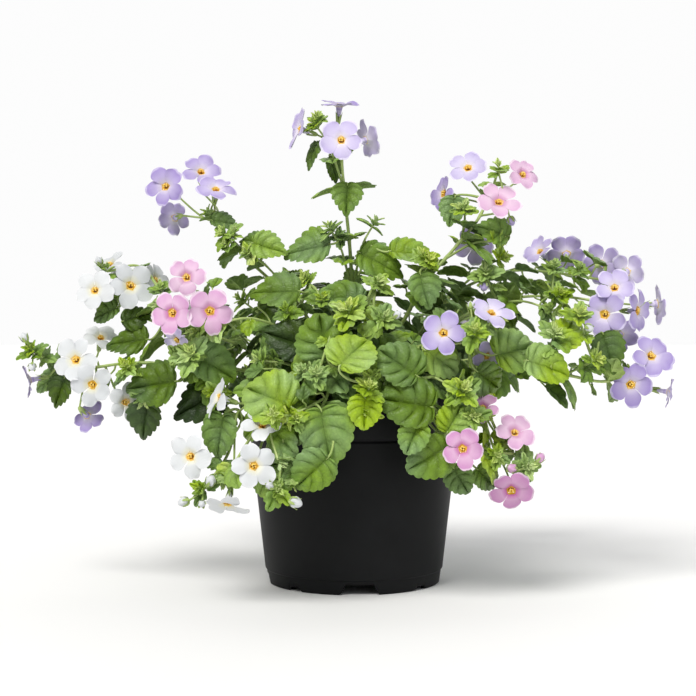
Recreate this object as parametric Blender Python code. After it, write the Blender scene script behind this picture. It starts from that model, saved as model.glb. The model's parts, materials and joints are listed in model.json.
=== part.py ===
"""A flowering bacopa in a 12 cm nursery pot, +Z up, with its origin on the ground under the pot's axis.

The front of the plant faces -Y. Places and sizes below are in millimetres, and MM turns them into metres.
"""

import math
import random

import bmesh
import bpy
from mathutils import Matrix, Vector
from mathutils.bvhtree import BVHTree

MM = 0.001

# Pot: injection-moulded, 12 cm across its rim
POT_HEIGHT = 104.0
RIM_R = 60.0
BAND_HEIGHT = 21.5
BAND_STEP = 1.2
FOOT_R = 47.6
SKIRT_HEIGHT = 7.4
SKIRT_STEP = 0.8
WALL = 1.2
FLOOR_UNDER = 5.2
FLOOR_TOP = 6.7
FOOT_RING = 2.4
PAD_R = 9.0
POT_SIDES = 32
NOTCHES = 8
NOTCH_TURN = 3.4
BIG_NOTCH = (22.0, 15.0, 5.4)
SMALL_NOTCH = (10.0, 7.0, 2.2)
DRAIN_HOLES = 4
DRAIN_R = 3.6
DRAIN_CIRCLE = 30.0

# Soil: a plug of peat
SOIL_TOP = 92.0
SOIL_SIDES = 20
SOIL_RELIEF = 1.1
ROOT_DEPTH = 18.0
GAP = 0.35

# Growth: thickness of stems, stalks and blades
STEM_STEP = 34.0
JOINT = 1.1
JOINT_TRIES = 24
STEM_LEAF, STEM_SPACING = 23.0, 33.0
TWIG_LEAF, TWIG_SPACING = 20.0, 22.0
TIP_LEAF = 9.0
TWIG_GIRTH = 0.8
STALK_GIRTH = 0.62
BLADE = 1.2
THIN_BLADE = 0.9
CALYX_R = 1.7
CALYX_LENGTH = 4.0
LONG_STALK = 28.0
TUBE_LENGTH = 7.0
TUBE_R = 1.05
THROAT_SHARE = 0.30
THROAT_DEPTH = 1.6
NOTCH_DEPTH = 1.5
LOBES = 5
CLEAR = 0.45
CORE = Vector((0.0, 0.0, 112.0))

# Half outlines of a blade, from base to tip: (share of length, share of length across)
LARGE_EDGE = ((0.02, 0.26), (0.20, 0.45), (0.44, 0.44), (0.60, 0.38), (0.82, 0.26))
SMALL_EDGE = ((0.26, 0.36), (0.52, 0.44), (0.76, 0.26))
TIP_EDGE = ((0.45, 0.32),)
# Outline of a corolla's lobe: (degrees from its middle, share of the radius, share of its lean)
LOBE_EDGE = ((-25, 0.84, 0.7), (0, 1.0, 1.0), (25, 0.84, 0.7))

# Each plant: its hole in the soil, then its stems. A stem is its girth, its leafless share and its route.
PLANTS = {
    "plant_crown": {
        "hole": (-2, 7),
        "stems": {
            "crown": (
                1.5, 0.30,
                ((-2, 7, 92), (-2, 4, 120), (-1, 0, 156), (-2, -1, 181), (-4, 0, 203), (-6, 1, 223),
                 (-7, 1, 237)),
            ),
            "left_high": (
                1.4, 0.34,
                ((-2, 7, 97), (-12, 12, 118), (-30, 12, 152), (-50, 15, 170), (-67, 15, 186),
                 (-81, 15, 204)),
            ),
            "right_high": (
                1.5, 0.34,
                ((-2, 7, 96), (10, 4, 118), (26, -3, 142), (39, -4, 165), (56, 0, 185), (69, 0, 201),
                 (75, 2, 214)),
            ),
        },
    },
    "plant_left": {
        "hole": (-24, -4),
        "stems": {
            "left_white": (
                1.3, 0.22,
                ((-24, -4, 92), (-42, -3, 118), (-68, -8, 133), (-100, -10, 141), (-122, -6, 149),
                 (-133, -2, 158)),
            ),
            "far_left": (
                1.3, 0.20,
                ((-24, -4, 96), (-40, -18, 110), (-60, -28, 118), (-87, -32, 121), (-120, -28, 122),
                 (-148, -22, 119), (-167, -16, 125)),
            ),
            "left_pink": (
                1.2, 0.24,
                ((-24, -4, 97), (-24, -22, 118), (-36, -36, 138), (-54, -45, 146), (-72, -49, 143),
                 (-82, -50, 140)),
            ),
        },
    },
    "plant_low_left": {
        "hole": (-12, -26),
        "stems": {
            "low_left": (
                1.3, 0.26,
                ((-12, -26, 92), (-20, -40, 113), (-32, -63, 118), (-43, -75, 101), (-55, -81, 82),
                 (-65, -82, 66)),
            ),
            "low_front": (
                1.2, 0.28,
                ((-12, -26, 96), (-8, -46, 112), (-10, -64, 116), (-16, -78, 102), (-24, -85, 82),
                 (-30, -86, 66)),
            ),
        },
    },
    "plant_right_front": {
        "hole": (16, -20),
        "stems": {
            "low_right": (
                1.3, 0.26,
                ((16, -20, 92), (19, -38, 113), (26, -62, 118), (35, -73, 102), (47, -73, 87),
                 (64, -68, 78), (84, -60, 76)),
            ),
            "right_face": (
                1.1, 0.34,
                ((16, -20, 97), (22, -36, 120), (32, -50, 131), (45, -57, 132), (60, -58, 134)),
            ),
            "right_trail": (
                1.4, 0.24,
                ((16, -20, 96), (36, -28, 110), (58, -36, 118), (86, -40, 119), (112, -37, 116),
                 (134, -30, 112), (149, -24, 117)),
            ),
        },
    },
    "plant_right": {
        "hole": (24, 6),
        "stems": {
            "right_mid": (
                1.3, 0.26,
                ((24, 6, 92), (38, 4, 124), (60, 8, 146), (90, 12, 157), (116, 6, 158), (137, -3, 155)),
            ),
            "right_back": (
                1.3, 0.24,
                ((24, 6, 97), (34, 22, 130), (56, 38, 158), (90, 48, 173), (122, 52, 172),
                 (148, 50, 168)),
            ),
        },
    },
    "plant_back": {
        "hole": (-4, 30),
        "stems": {
            "back_centre": (
                1.3, 0.22,
                ((-4, 30, 92), (-4, 52, 122), (-10, 80, 134), (-20, 106, 128), (-28, 122, 112)),
            ),
            "back_left": (
                1.3, 0.22,
                ((-4, 30, 96), (-26, 46, 122), (-54, 70, 138), (-82, 92, 137), (-102, 106, 124)),
            ),
            "back_right": (
                1.3, 0.22,
                ((-4, 30, 97), (20, 50, 120), (48, 76, 133), (74, 98, 127), (90, 114, 110)),
            ),
        },
    },
}

# Side twigs: (stem, share of the stem where it starts, its end)
TWIGS = (
    ("crown", 0.28, (-26, -22, 166)),
    ("crown", 0.30, (12, -26, 164)),
    ("crown", 0.34, (-2, 30, 166)),
    ("crown", 0.56, (-13, -5, 195)),
    ("crown", 0.56, (5, -4, 198)),
    ("crown", 0.90, (-21, -5, 252)),
    ("left_high", 0.45, (-58, -4, 182)),
    ("left_high", 0.72, (-72, 4, 193)),
    ("right_high", 0.42, (40, -22, 176)),
    ("right_high", 0.70, (79, -6, 188)),
    ("right_high", 0.80, (60, -10, 206)),
    ("left_white", 0.42, (-84, 6, 157)),
    ("left_white", 0.60, (-104, -30, 152)),
    ("left_white", 0.30, (-66, 22, 136)),
    ("far_left", 0.34, (-72, -54, 108)),
    ("far_left", 0.50, (-92, -48, 126)),
    ("far_left", 0.62, (-112, -40, 104)),
    ("left_pink", 0.40, (-42, -54, 124)),
    ("low_left", 0.34, (-48, -60, 124)),
    ("low_left", 0.56, (-62, -66, 96)),
    ("low_left", 0.70, (-38, -91, 76)),
    ("low_front", 0.36, (-22, -78, 119)),
    ("low_front", 0.58, (-32, -92, 98)),
    ("low_right", 0.24, (8, -78, 116)),
    ("low_right", 0.34, (6, -84, 100)),
    ("low_right", 0.42, (52, -76, 110)),
    ("low_right", 0.66, (66, -66, 96)),
    ("right_face", 0.30, (2, -56, 150)),
    ("right_face", 0.72, (62, -68, 146)),
    ("right_trail", 0.32, (66, -56, 108)),
    ("right_trail", 0.50, (100, -56, 122)),
    ("right_trail", 0.72, (126, -48, 124)),
    ("right_mid", 0.36, (78, -14, 146)),
    ("right_mid", 0.56, (108, -20, 150)),
    ("right_mid", 0.40, (74, 30, 146)),
    ("right_back", 0.46, (84, 24, 180)),
    ("right_back", 0.40, (64, 66, 150)),
    ("back_centre", 0.50, (-30, 78, 152)),
    ("back_centre", 0.62, (-2, 104, 112)),
    ("back_left", 0.40, (-66, 56, 156)),
    ("back_left", 0.56, (-92, 70, 120)),
    ("back_left", 0.36, (-44, 80, 110)),
    ("back_right", 0.40, (44, 64, 156)),
    ("back_right", 0.56, (82, 78, 120)),
    ("back_right", 0.44, (40, 92, 108)),
    ("left_high", 0.12, (-42, 42, 126)),
    ("crown", 0.16, (24, 44, 136)),
    ("right_back", 0.14, (60, 26, 118)),
    ("right_mid", 0.16, (66, -10, 124)),
    ("back_left", 0.14, (-58, 34, 114)),
    ("back_right", 0.16, (52, 52, 112)),
    ("back_centre", 0.18, (-26, 70, 112)),
    ("left_white", 0.16, (-62, 18, 112)),
)

# Blooms: (node, stem, centre of the face, (azimuth, elevation) it looks, diameter, roll). Azimuth 0 looks
# to -Y and 90 to +X.
BLOOMS = (
    ("lavender_01", "crown", (-31, 0, 251), (-70, 15), 24, 10),
    ("lavender_02", "crown", (-8, 9, 266), (20, 76), 24, 0),
    ("lavender_03", "crown", (-7, -12, 243), (-5, 15), 25, 6),
    ("lavender_04", "crown", (8, 16, 247), (120, 20), 23, 30),
    ("lavender_05", "left_high", (-106, 8, 220), (-15, 10), 24, -8),
    ("lavender_06", "left_high", (-88, 34, 231), (10, 35), 24, 12),
    ("lavender_07", "left_high", (-78, 16, 218), (15, 55), 25, 0),
    ("lavender_08", "left_high", (-103, 26, 203), (-150, -5), 21, 0),
    ("lavender_09", "right_high", (64, 12, 231), (-10, 30), 24, 20),
    ("lavender_10", "right_high", (50, 20, 217), (-60, 10), 22, 0),
    ("lavender_11", "right_high", (70, 36, 188), (170, 0), 24, 0),
    ("pink_01", "right_high", (79, -16, 210), (10, 35), 25, -10),
    ("pink_02", "right_high", (94, -2, 226), (25, 25), 21, 5),
    ("pink_03", "left_pink", (-89, -41, 168), (-8, 12), 23, 15),
    ("pink_04", "left_pink", (-94, -64, 149), (-12, 5), 24, -5),
    ("pink_04", "left_pink", (-71, -60, 150), (8, 0), 25, 8),
    ("lavender_12", "left_pink", (-95, -38, 134), (-40, -20), 18, 0),
    ("white_01", "left_white", (-122, -14, 164), (10, 10), 26, -12),
    ("white_01", "left_white", (-145, -10, 160), (-12, 15), 24, 5),
    ("white_02", "left_white", (-138, 13, 177), (-30, 50), 20, 0),
    ("white_03", "left_white", (-112, 20, 168), (60, 20), 22, 10),
    ("white_04", "far_left", (-150, -30, 124), (-15, 15), 26, 8),
    ("white_04", "far_left", (-139, -42, 107), (-5, -5), 24, -15),
    ("white_05", "far_left", (-122, -32, 101), (25, 0), 22, 20),
    ("white_06", "far_left", (-141, 2, 136), (20, 50), 22, 0),
    ("lavender_13", "far_left", (-178, -16, 112), (-80, -10), 20, 0),
    ("lavender_14", "far_left", (-145, -16, 92), (160, -30), 20, 0),
    ("white_07", "low_left", (-68, -72, 106), (-70, 20), 24, 0),
    ("white_08", "low_left", (-84, -74, 76), (-20, 5), 25, 10),
    ("white_09", "low_left", (-50, -93, 73), (5, 5), 24, -20),
    ("white_10", "low_left", (-46, -84, 92), (-10, 48), 22, 0),
    ("white_11", "low_left", (-64, -86, 52), (-20, -60), 24, 0),
    ("lavender_15", "right_face", (45, -76, 139), (-5, 10), 24, 12),
    ("lavender_16", "right_face", (70, -74, 150), (25, 50), 24, 0),
    ("lavender_17", "right_face", (70, -52, 126), (30, -20), 20, 0),
    ("lavender_18", "right_back", (110, 58, 186), (-50, 40), 22, 0),
    ("lavender_19", "right_back", (126, 56, 184), (175, 24), 24, 0),
    ("lavender_20", "right_back", (148, 62, 178), (154, 8), 25, 12),
    ("lavender_20", "right_back", (165, 52, 172), (144, 0), 24, 0),
    ("lavender_21", "right_mid", (141, -22, 163), (-5, 25), 23, 6),
    ("lavender_21", "right_mid", (132, -33, 146), (-15, 5), 26, -10),
    ("lavender_22", "right_mid", (156, -15, 150), (55, 0), 25, 20),
    ("lavender_23", "right_mid", (171, 4, 154), (95, 5), 25, 0),
    ("lavender_24", "right_mid", (149, 2, 136), (150, -20), 22, 0),
    ("lavender_25", "right_trail", (161, -25, 126), (15, 20), 26, -6),
    ("lavender_25", "right_trail", (147, -33, 107), (5, -5), 26, 10),
    ("lavender_26", "right_trail", (170, -18, 106), (75, -10), 18, 0),
    ("pink_05", "low_right", (54, -86, 81), (-5, 5), 23, 8),
    ("pink_06", "low_right", (83, -64, 88), (15, 30), 22, -12),
    ("pink_07", "low_right", (67, -62, 97), (-20, 40), 20, 0),
    ("pink_08", "low_right", (80, -74, 57), (0, -25), 24, 5),
    ("white_12", "back_left", (-96, 108, 148), (-160, 32), 24, 0),
    ("white_12", "back_left", (-115, 113, 132), (-135, 8), 25, 18),
    ("white_12", "back_left", (-104, 122, 116), (-150, 0), 24, 0),
    ("pink_09", "back_centre", (-20, 122, 137), (172, 30), 24, 0),
    ("pink_10", "back_centre", (-40, 130, 112), (-165, 0), 24, 15),
    ("pink_11", "back_centre", (-12, 132, 104), (165, -10), 23, 0),
    ("lavender_27", "back_right", (72, 108, 142), (160, 35), 24, 0),
    ("lavender_28", "back_right", (97, 120, 120), (145, 5), 25, 10),
    ("lavender_29", "back_right", (80, 128, 99), (165, -20), 24, 0),
)

# Large leaves: (plant, centre of the blade, length, turn of the tip seen from the front, (azimuth,
# elevation) of the upper face). Turn 0 points to +X and 90 up.
LEAVES = (
    ("plant_crown", (-26, -5, 185), 27, 186, (-10, 40)),
    ("plant_crown", (15, -10, 177), 28, -28, (10, 35)),
    ("plant_crown", (32, -8, 182), 26, 2, (10, 50)),
    ("plant_crown", (-4, -8, 212), 19, -92, (0, 25)),
    ("plant_crown", (-23, 0, 236), 17, -105, (-60, 20)),
    ("plant_crown", (-11, 6, 229), 15, -70, (40, 10)),
    ("plant_crown", (-57, 6, 187), 16, 150, (-20, 40)),
    ("plant_crown", (-47, 2, 181), 21, -20, (0, 30)),
    ("plant_crown", (-73, 12, 200), 16, -6, (10, 45)),
    ("plant_crown", (-42, -40, 161), 28, 172, (-5, 40)),
    ("plant_crown", (-8, -40, 158), 26, 170, (5, 45)),
    ("plant_crown", (38, -26, 161), 21, -80, (10, 20)),
    ("plant_crown", (55, 8, 206), 18, -100, (-10, 15)),
    ("plant_crown", (76, -2, 193), 20, 160, (15, 25)),
    ("plant_right_front", (-16, -68, 137), 29, 100, (-5, 30)),
    ("plant_left", (-42, -58, 129), 34, 190, (-15, 10)),
    ("plant_low_left", (-44, -78, 107), 30, 150, (-15, 25)),
    ("plant_low_left", (-14, -88, 87), 29, -80, (10, 10)),
    ("plant_low_left", (-33, -86, 86), 22, -120, (-15, 5)),
    ("plant_low_left", (-21, -88, 70), 24, -135, (-5, -10)),
    ("plant_low_left", (-67, -70, 86), 22, -100, (-30, 10)),
    ("plant_low_left", (-42, -88, 62), 16, -60, (0, 0)),
    ("plant_right_front", (-1, -76, 125), 26, 60, (5, 40)),
    ("plant_right_front", (22, -76, 124), 25, 140, (5, 25)),
    ("plant_right_front", (26, -82, 104), 28, 170, (5, 20)),
    ("plant_right_front", (46, -62, 122), 27, -30, (15, 20)),
    ("plant_right_front", (66, -58, 107), 27, -60, (20, 5)),
    ("plant_right_front", (5, -84, 98), 17, -92, (0, 20)),
    ("plant_right_front", (37, -82, 76), 24, -150, (0, 10)),
    ("plant_right_front", (29, -84, 86), 17, -110, (-10, 15)),
    ("plant_right_front", (50, -74, 94), 18, 60, (10, 20)),
    ("plant_right_front", (54, -74, 64), 16, -60, (0, 0)),
    ("plant_right_front", (68, -66, 64), 16, -40, (20, 0)),
    ("plant_right_front", (83, -52, 128), 25, 20, (15, 25)),
    ("plant_right_front", (99, -55, 117), 24, -15, (10, 35)),
    ("plant_right_front", (112, -46, 139), 20, 60, (15, 30)),
    ("plant_right_front", (136, -36, 128), 23, -75, (10, 15)),
    ("plant_left", (-124, -18, 134), 25, 176, (-10, 40)),
    ("plant_left", (-106, -38, 108), 29, 184, (-10, 25)),
    ("plant_left", (-111, -34, 92), 22, -100, (-10, 0)),
    ("plant_left", (-82, -40, 102), 32, -150, (-10, 30)),
    ("plant_left", (-73, -46, 119), 23, -30, (10, 20)),
    ("plant_left", (-160, -22, 106), 18, -110, (-20, 10)),
    ("plant_left", (-171, -12, 113), 16, -150, (-30, 30)),
    ("plant_left", (-137, -8, 149), 16, 200, (-20, 30)),
    ("plant_left", (-118, -10, 145), 18, 20, (-10, 30)),
)

# Tilts, turns, sizes and shifts along its normal tried in order for a blade, until it is clear of what is
# placed. A large leaf, which has a long stalk, shifts before it tilts.
LEAF_TRIES = (
    (0, 0, 1.0, 0), (14, 0, 1.0, 0), (-14, 0, 1.0, 0), (0, 16, 1.0, 0), (0, -16, 1.0, 0), (24, 18, 0.92, 0),
    (-24, -18, 0.92, 0), (26, -24, 0.85, 0), (-26, 24, 0.85, 0), (40, 0, 0.85, 0), (-40, 0, 0.85, 0),
    (0, 36, 0.8, 0), (0, -36, 0.8, 0), (20, 50, 0.75, 0), (-20, -50, 0.75, 0), (0, 0, 0.62, 0),
)
LARGE_TRIES = (
    (0, 0, 1.0, 0), (0, 0, 1.0, 4), (0, 0, 1.0, -4), (0, 0, 1.0, 8), (0, 0, 1.0, -8), (12, 0, 1.0, 4),
    (-12, 0, 1.0, -4), (0, 12, 1.0, 4), (0, -12, 1.0, -4), (20, 0, 0.95, 8), (-20, 0, 0.95, -8),
    (16, 20, 0.9, 6), (-16, -20, 0.9, -6), (0, 0, 0.8, 4), (0, 0, 0.8, -4), (20, 30, 0.75, 8),
    (-20, -30, 0.75, -8), (0, 0, 0.66, 0), (0, 0, 0.66, 8), (0, 0, 0.66, -8),
)
# Shifts of a bloom along its axis, and its pulls towards the bloom that it has grown into, tried in order
BLOOM_SHIFTS = (0, 2, -2, 4, -4, 6, -6, 8)
BLOOM_PULLS = (0, 0.08, 0.16, 0.24, 0.32, 0.4)
# Shifts of a twig's end, tried in order
TWIG_SHIFTS = (
    (0, 0, 0), (0, 6, 0), (0, -6, 0), (0, 0, 6), (0, 0, -6), (6, 0, 0), (-6, 0, 0), (0, 10, 8), (0, -10, 8),
)


def toward(azimuth, elevation):
    a, e = math.radians(azimuth), math.radians(elevation)
    return Vector((math.sin(a) * math.cos(e), -math.cos(a) * math.cos(e), math.sin(e)))


def across(direction, normal):
    """The direction turned square to the normal, at unit length."""
    flat = direction - normal * direction.dot(normal)
    return flat.normalized() if flat.length > 1e-3 else normal.orthogonal().normalized()


def curve_through(points, step):
    """Points about a step apart on a Catmull-Rom curve through the given ones."""
    points = [Vector(p) for p in points]
    ends = [2 * points[0] - points[1]] + points + [2 * points[-1] - points[-2]]
    route = [points[0]]
    for a, b, c, d in zip(ends, ends[1:], ends[2:], ends[3:]):
        count = max(1, round((c - b).length / step))
        for k in range(1, count + 1):
            t = k / count
            bend = (2 * a - 5 * b + 4 * c - d) * t**2 + (3 * b - a - 3 * c + d) * t**3
            route.append(0.5 * (2 * b + (c - a) * t + bend))
    return route


class Shoot:
    """A stem or twig. Four-sided, so its faces point the four ways that opposite pairs of leaves grow."""

    def __init__(self, name, plant, route, girths, turn, root=None):
        self.name, self.plant, self.route, self.girths, self.root = name, plant, route, girths, root
        self.reach = [0.0]
        for a, b in zip(route, route[1:]):
            self.reach.append(self.reach[-1] + (b - a).length)
        self.length = self.reach[-1]
        along = (route[1] - route[0]).normalized()
        side = Matrix.Rotation(turn, 3, along) @ along.orthogonal().normalized()
        self.sides = []
        for i in range(len(route)):
            side = across(side, (route[min(i + 1, len(route) - 1)] - route[max(i - 1, 0)]).normalized())
            self.sides.append(side)
        self.joints = []

    def frame(self, at):
        """The point, direction, side and girth at a distance along the shoot."""
        at = min(max(at, 0.0), self.length)
        i = max(k for k in range(len(self.reach) - 1) if self.reach[k] <= at)
        t = (at - self.reach[i]) / (self.reach[i + 1] - self.reach[i])
        before, after = max(i - 1, 0), min(i + 2, len(self.route) - 1)
        first = (self.route[i + 1] - self.route[before]).normalized()
        second = (self.route[after] - self.route[i]).normalized()
        along = first.lerp(second, t).normalized()
        side = across(self.sides[i].lerp(self.sides[i + 1], t), along)
        girth = self.girths[0] + (self.girths[1] - self.girths[0]) * at / self.length
        return self.route[i].lerp(self.route[i + 1], t), along, side, girth

    def ring(self, at, swell=0.0):
        """Four corners, turning from side to along x side, with face k between corners k and k + 1."""
        place, along, side, girth = self.frame(at)
        other = along.cross(side)
        corners = []
        for k in range(4):
            angle = math.pi / 2 * k - math.pi / 4
            out = side * math.cos(angle) + other * math.sin(angle)
            corners.append(place + out * (girth * 1.2 + swell))
        return corners

    def ways(self, at):
        """The directions that the four faces look."""
        _, along, side, _ = self.frame(at)
        other = along.cross(side)
        return [side, other, -side, -other]

    def claim(self, at, way, near=4.5):
        """The free face nearest to a place and a direction, as its joint and the face's number."""
        low, high = JOINT, self.length - JOINT
        if high <= low:
            return None
        at = min(max(at, low), high)
        order = sorted(range(4), key=lambda k: -self.ways(at)[k].dot(way))[:2]
        for joint in self.joints:
            if abs(joint["at"] - at) < near:
                for k in order:
                    if k not in joint["used"]:
                        joint["used"].append(k)
                        return joint, k
        for step in range(JOINT_TRIES):
            spot = at + (step // 2 + 1) * 0.7 * (1 if step % 2 else -1) if step else at
            clear = all(abs(joint["at"] - spot) >= 2 * JOINT + 0.4 for joint in self.joints)
            if low <= spot <= high and clear:
                joint = {"at": spot, "used": [order[0]]}
                self.joints.append(joint)
                return joint, order[0]
        return None

    def corners(self, joint, k):
        """The corners of a joint's face, anticlockwise as seen from outside."""
        low, high = self.ring(joint["at"] - JOINT), self.ring(joint["at"] + JOINT)
        return [low[k], low[(k + 1) % 4], high[(k + 1) % 4], high[k]]

    def skin(self, start, swell):
        """The shoot from a distance on as a plain tube, for the clearance test."""
        count = max(2, round((self.length - start) / 6))
        rings = [self.ring(start + (self.length - start) * i / count, swell) for i in range(count + 1)]
        return tube_faces(rings + [[self.point()] * 4])

    def point(self):
        """The point of the closed bud that ends a shoot."""
        tip, along, _, girth = self.frame(self.length)
        return tip + along * girth * 4


def tube_faces(rings):
    points = [p for ring in rings for p in ring]
    sides = len(rings[0])
    faces = []
    for i in range(len(rings) - 1):
        for k in range(sides):
            a, b = i * sides + k, i * sides + (k + 1) % sides
            faces += [(a, b, b + sides), (a, b + sides, a + sides)]
    return points, faces


def upright(x, y, low, high, radius, sides):
    """A closed upright prism, as points and faces."""
    rings = []
    for z in (low, high):
        turns = [2 * math.pi * k / sides for k in range(sides)]
        rings.append([Vector((x + radius * math.cos(a), y + radius * math.sin(a), z)) for a in turns])
    points, faces = tube_faces(rings)
    return points, faces + [tuple(range(sides))[::-1], tuple(range(sides, 2 * sides))]


def blade_point(leaf, u, v, lift):
    """The place on a leaf at u of its length and v across, folded up from the midrib and arched down."""
    length = leaf["length"]
    rise = leaf["fold"] * abs(v) - leaf["arch"] * u * u
    flat = leaf["base"] + leaf["along"] * (u * length) + leaf["side"] * (v * length)
    return flat + leaf["normal"] * (rise * length + lift)


def leaf_shape(leaf, swell=0.0):
    """A lens-shaped toothed blade that starts from four corners and is open there, as points and faces."""
    edge = leaf["edge"]
    grown = 1 + 2 * swell / leaf["length"]
    thick = leaf["blade"] / 2 + swell
    corners = leaf["corners"]
    height = [corner.dot(leaf["normal"]) for corner in corners]
    turn = max(range(4), key=lambda r: height[(r + 1) % 4] + height[(r + 2) % 4])
    start = [(turn + i) % 4 for i in range(4)]
    points, faces = list(corners), []
    if leaf["stalked"]:
        half = STALK_GIRTH + swell
        for across_share, up_share in ((1, -1), (1, 1), (-1, 1), (-1, -1)):
            points.append(leaf["base"] + (leaf["side"] * across_share + leaf["normal"] * up_share) * half)
        for i in range(4):
            a, b = start[i], start[(i + 1) % 4]
            faces += [(a, b, 4 + (i + 1) % 4), (a, 4 + (i + 1) % 4, 4 + i)]
        start = [4, 5, 6, 7]
    left, right = [], []
    for u, v in edge:
        left.append(len(points))
        points.append(blade_point(leaf, u, v * leaf["width"] * grown, 0))
        right.append(len(points))
        points.append(blade_point(leaf, u, -v * leaf["width"] * grown, 0))
    tip = len(points)
    points.append(blade_point(leaf, grown, 0, 0))
    ribs = (0.36, 0.7) if leaf["stalked"] else (0.44,)
    for below, above, lift in ((start[1], start[2], thick), (start[0], start[3], -thick)):
        ridge = list(range(len(points), len(points) + len(ribs)))
        points += [blade_point(leaf, u, 0, lift) for u in ribs]
        faces.append((below, above, ridge[0]))
        faces += strip(ridge, [below] + left + [tip], points)
        faces += strip(ridge, [above] + right + [tip], points)
    faces += [(start[0], start[1], left[0]), (start[2], start[3], right[0])]
    return points, faces


def outer_blade(leaf, swell):
    """The blade without its root, for the test against its own plant."""
    points, faces = leaf_shape(leaf, swell)
    inner = blade_point(leaf, 0.3, 0, 0)
    return [inner if i < (8 if leaf["stalked"] else 4) else p for i, p in enumerate(points)], faces


def strip(ridge, row, points):
    """Triangles between two rows of points, by the shorter diagonal, up to the row's last point."""
    faces = []
    i = j = 0
    while i < len(ridge) - 1 or j < len(row) - 1:
        on_ridge = i < len(ridge) - 1
        if on_ridge and j < len(row) - 2:
            ahead = (points[ridge[i + 1]] - points[row[j]]).length
            on_ridge = ahead < (points[ridge[i]] - points[row[j + 1]]).length
        if on_ridge:
            faces.append((ridge[i], row[j], ridge[i + 1]))
            i += 1
        else:
            faces.append((ridge[i], row[j], row[j + 1]))
            j += 1
    return faces


def make_leaf(corners, base, along, normal, length, width, seed, edge=SMALL_EDGE, stalked=False):
    """A leaf's frame: the corners it grows from, its blade's base, midrib, upper face and size."""
    draw = random.Random(seed)
    normal = normal.normalized()
    along = across(along, normal)
    return {
        "corners": corners, "base": base, "along": along, "normal": normal, "side": normal.cross(along),
        "length": length, "width": width * draw.uniform(0.92, 1.06), "fold": draw.uniform(0.10, 0.30),
        "arch": draw.uniform(0.06, 0.24), "edge": edge, "stalked": stalked,
        "blade": BLADE if length > 12 else THIN_BLADE,
    }


def corolla_shape(bloom, swell=0.0):
    """Five rounded lobes round a throat, with a tube behind, as points and faces."""
    axis, right, up = bloom["axis"], bloom["right"], bloom["up"]
    radius = bloom["radius"] + swell
    draw = random.Random(bloom["seed"])

    def spot(angle, r, lift):
        a = math.radians(angle)
        return bloom["centre"] + (right * math.cos(a) + up * math.sin(a)) * r + axis * lift

    points = [spot(0, 0, swell - THROAT_DEPTH)]
    faces = []
    throat = radius * THROAT_SHARE
    step = 360 / LOBES
    first = -90 - step / 2 + bloom["roll"]
    points += [spot(first + step * k, throat, -NOTCH_DEPTH) for k in range(LOBES)]
    tube_base = len(points)
    points += [spot(first + step * k, TUBE_R + swell, -TUBE_LENGTH) for k in range(LOBES)]
    for k in range(LOBES):
        notch, following = 1 + k, 1 + (k + 1) % LOBES
        size = draw.uniform(0.94, 1.03)
        lean = draw.uniform(-0.10, 0.14) * radius
        middle = first + step * (k + 0.5)
        start = len(points)
        for turn, share, rise in LOBE_EDGE:
            points.append(spot(middle + turn, radius * share * size, lean * rise))
        over, under = len(points), len(points) + 1
        points.append(spot(middle, radius * 0.62, lean * 0.4 + 0.5 + swell))
        points.append(spot(middle, radius * 0.62, lean * 0.4 - 0.5 - swell))
        ring = [notch, *range(start, over), following]
        for a, b in zip(ring, ring[1:]):
            faces += [(over, a, b), (under, b, a)]
        faces += [(over, following, 0), (over, 0, notch), (under, notch, following)]
        a, b = tube_base + k, tube_base + (k + 1) % LOBES
        faces += [(notch, a, b), (notch, b, following)]
    faces += [(tube_base, tube_base + k + 1, tube_base + k) for k in range(1, LOBES - 1)]
    return points, faces


def make_bloom(place, look, diameter, roll, seed, shift=0.0):
    """A bloom's frame: the centre of its face, the axis it looks along and its size."""
    axis = toward(*look)
    up = across(Vector((0, 0, 1)), axis) if abs(look[1]) < 80 else Vector((0, 1, 0))
    return {
        "centre": Vector(place) + axis * shift, "axis": axis, "up": up, "right": up.cross(axis),
        "radius": diameter / 2, "roll": roll, "seed": seed,
    }


def flower_stalk(bloom, corners, way):
    """The rings of a stalk from a face of the stem to the flat end of the calyx behind a bloom."""
    root = sum(corners, Vector()) / 4
    neck = bloom["centre"] - bloom["axis"] * (TUBE_LENGTH + GAP + CALYX_LENGTH)
    seat = bloom["centre"] - bloom["axis"] * (TUBE_LENGTH + GAP)
    reach = (neck - root).length
    middle = (root + 3 * (root + way * reach * 0.35) + 3 * (neck - bloom["axis"] * reach * 0.35) + neck) / 8
    rings = [corners]
    stops = [(middle, STALK_GIRTH)] if reach > LONG_STALK else []
    stops += [(neck, STALK_GIRTH * 1.1), (seat, CALYX_R)]
    before = root
    side = corners[1] - corners[0]
    for i, (place, girth) in enumerate(stops):
        along = bloom["axis"] if i >= len(stops) - 2 else (neck - before).normalized()
        side = across(side, along)
        other = along.cross(side)
        rings.append([place + (-side - other) * girth * 0.75, place + (side - other) * girth * 0.75])
        rings[-1] += [place + (side + other) * girth * 0.75, place + (other - side) * girth * 0.75]
        before = place
    return rings


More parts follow.
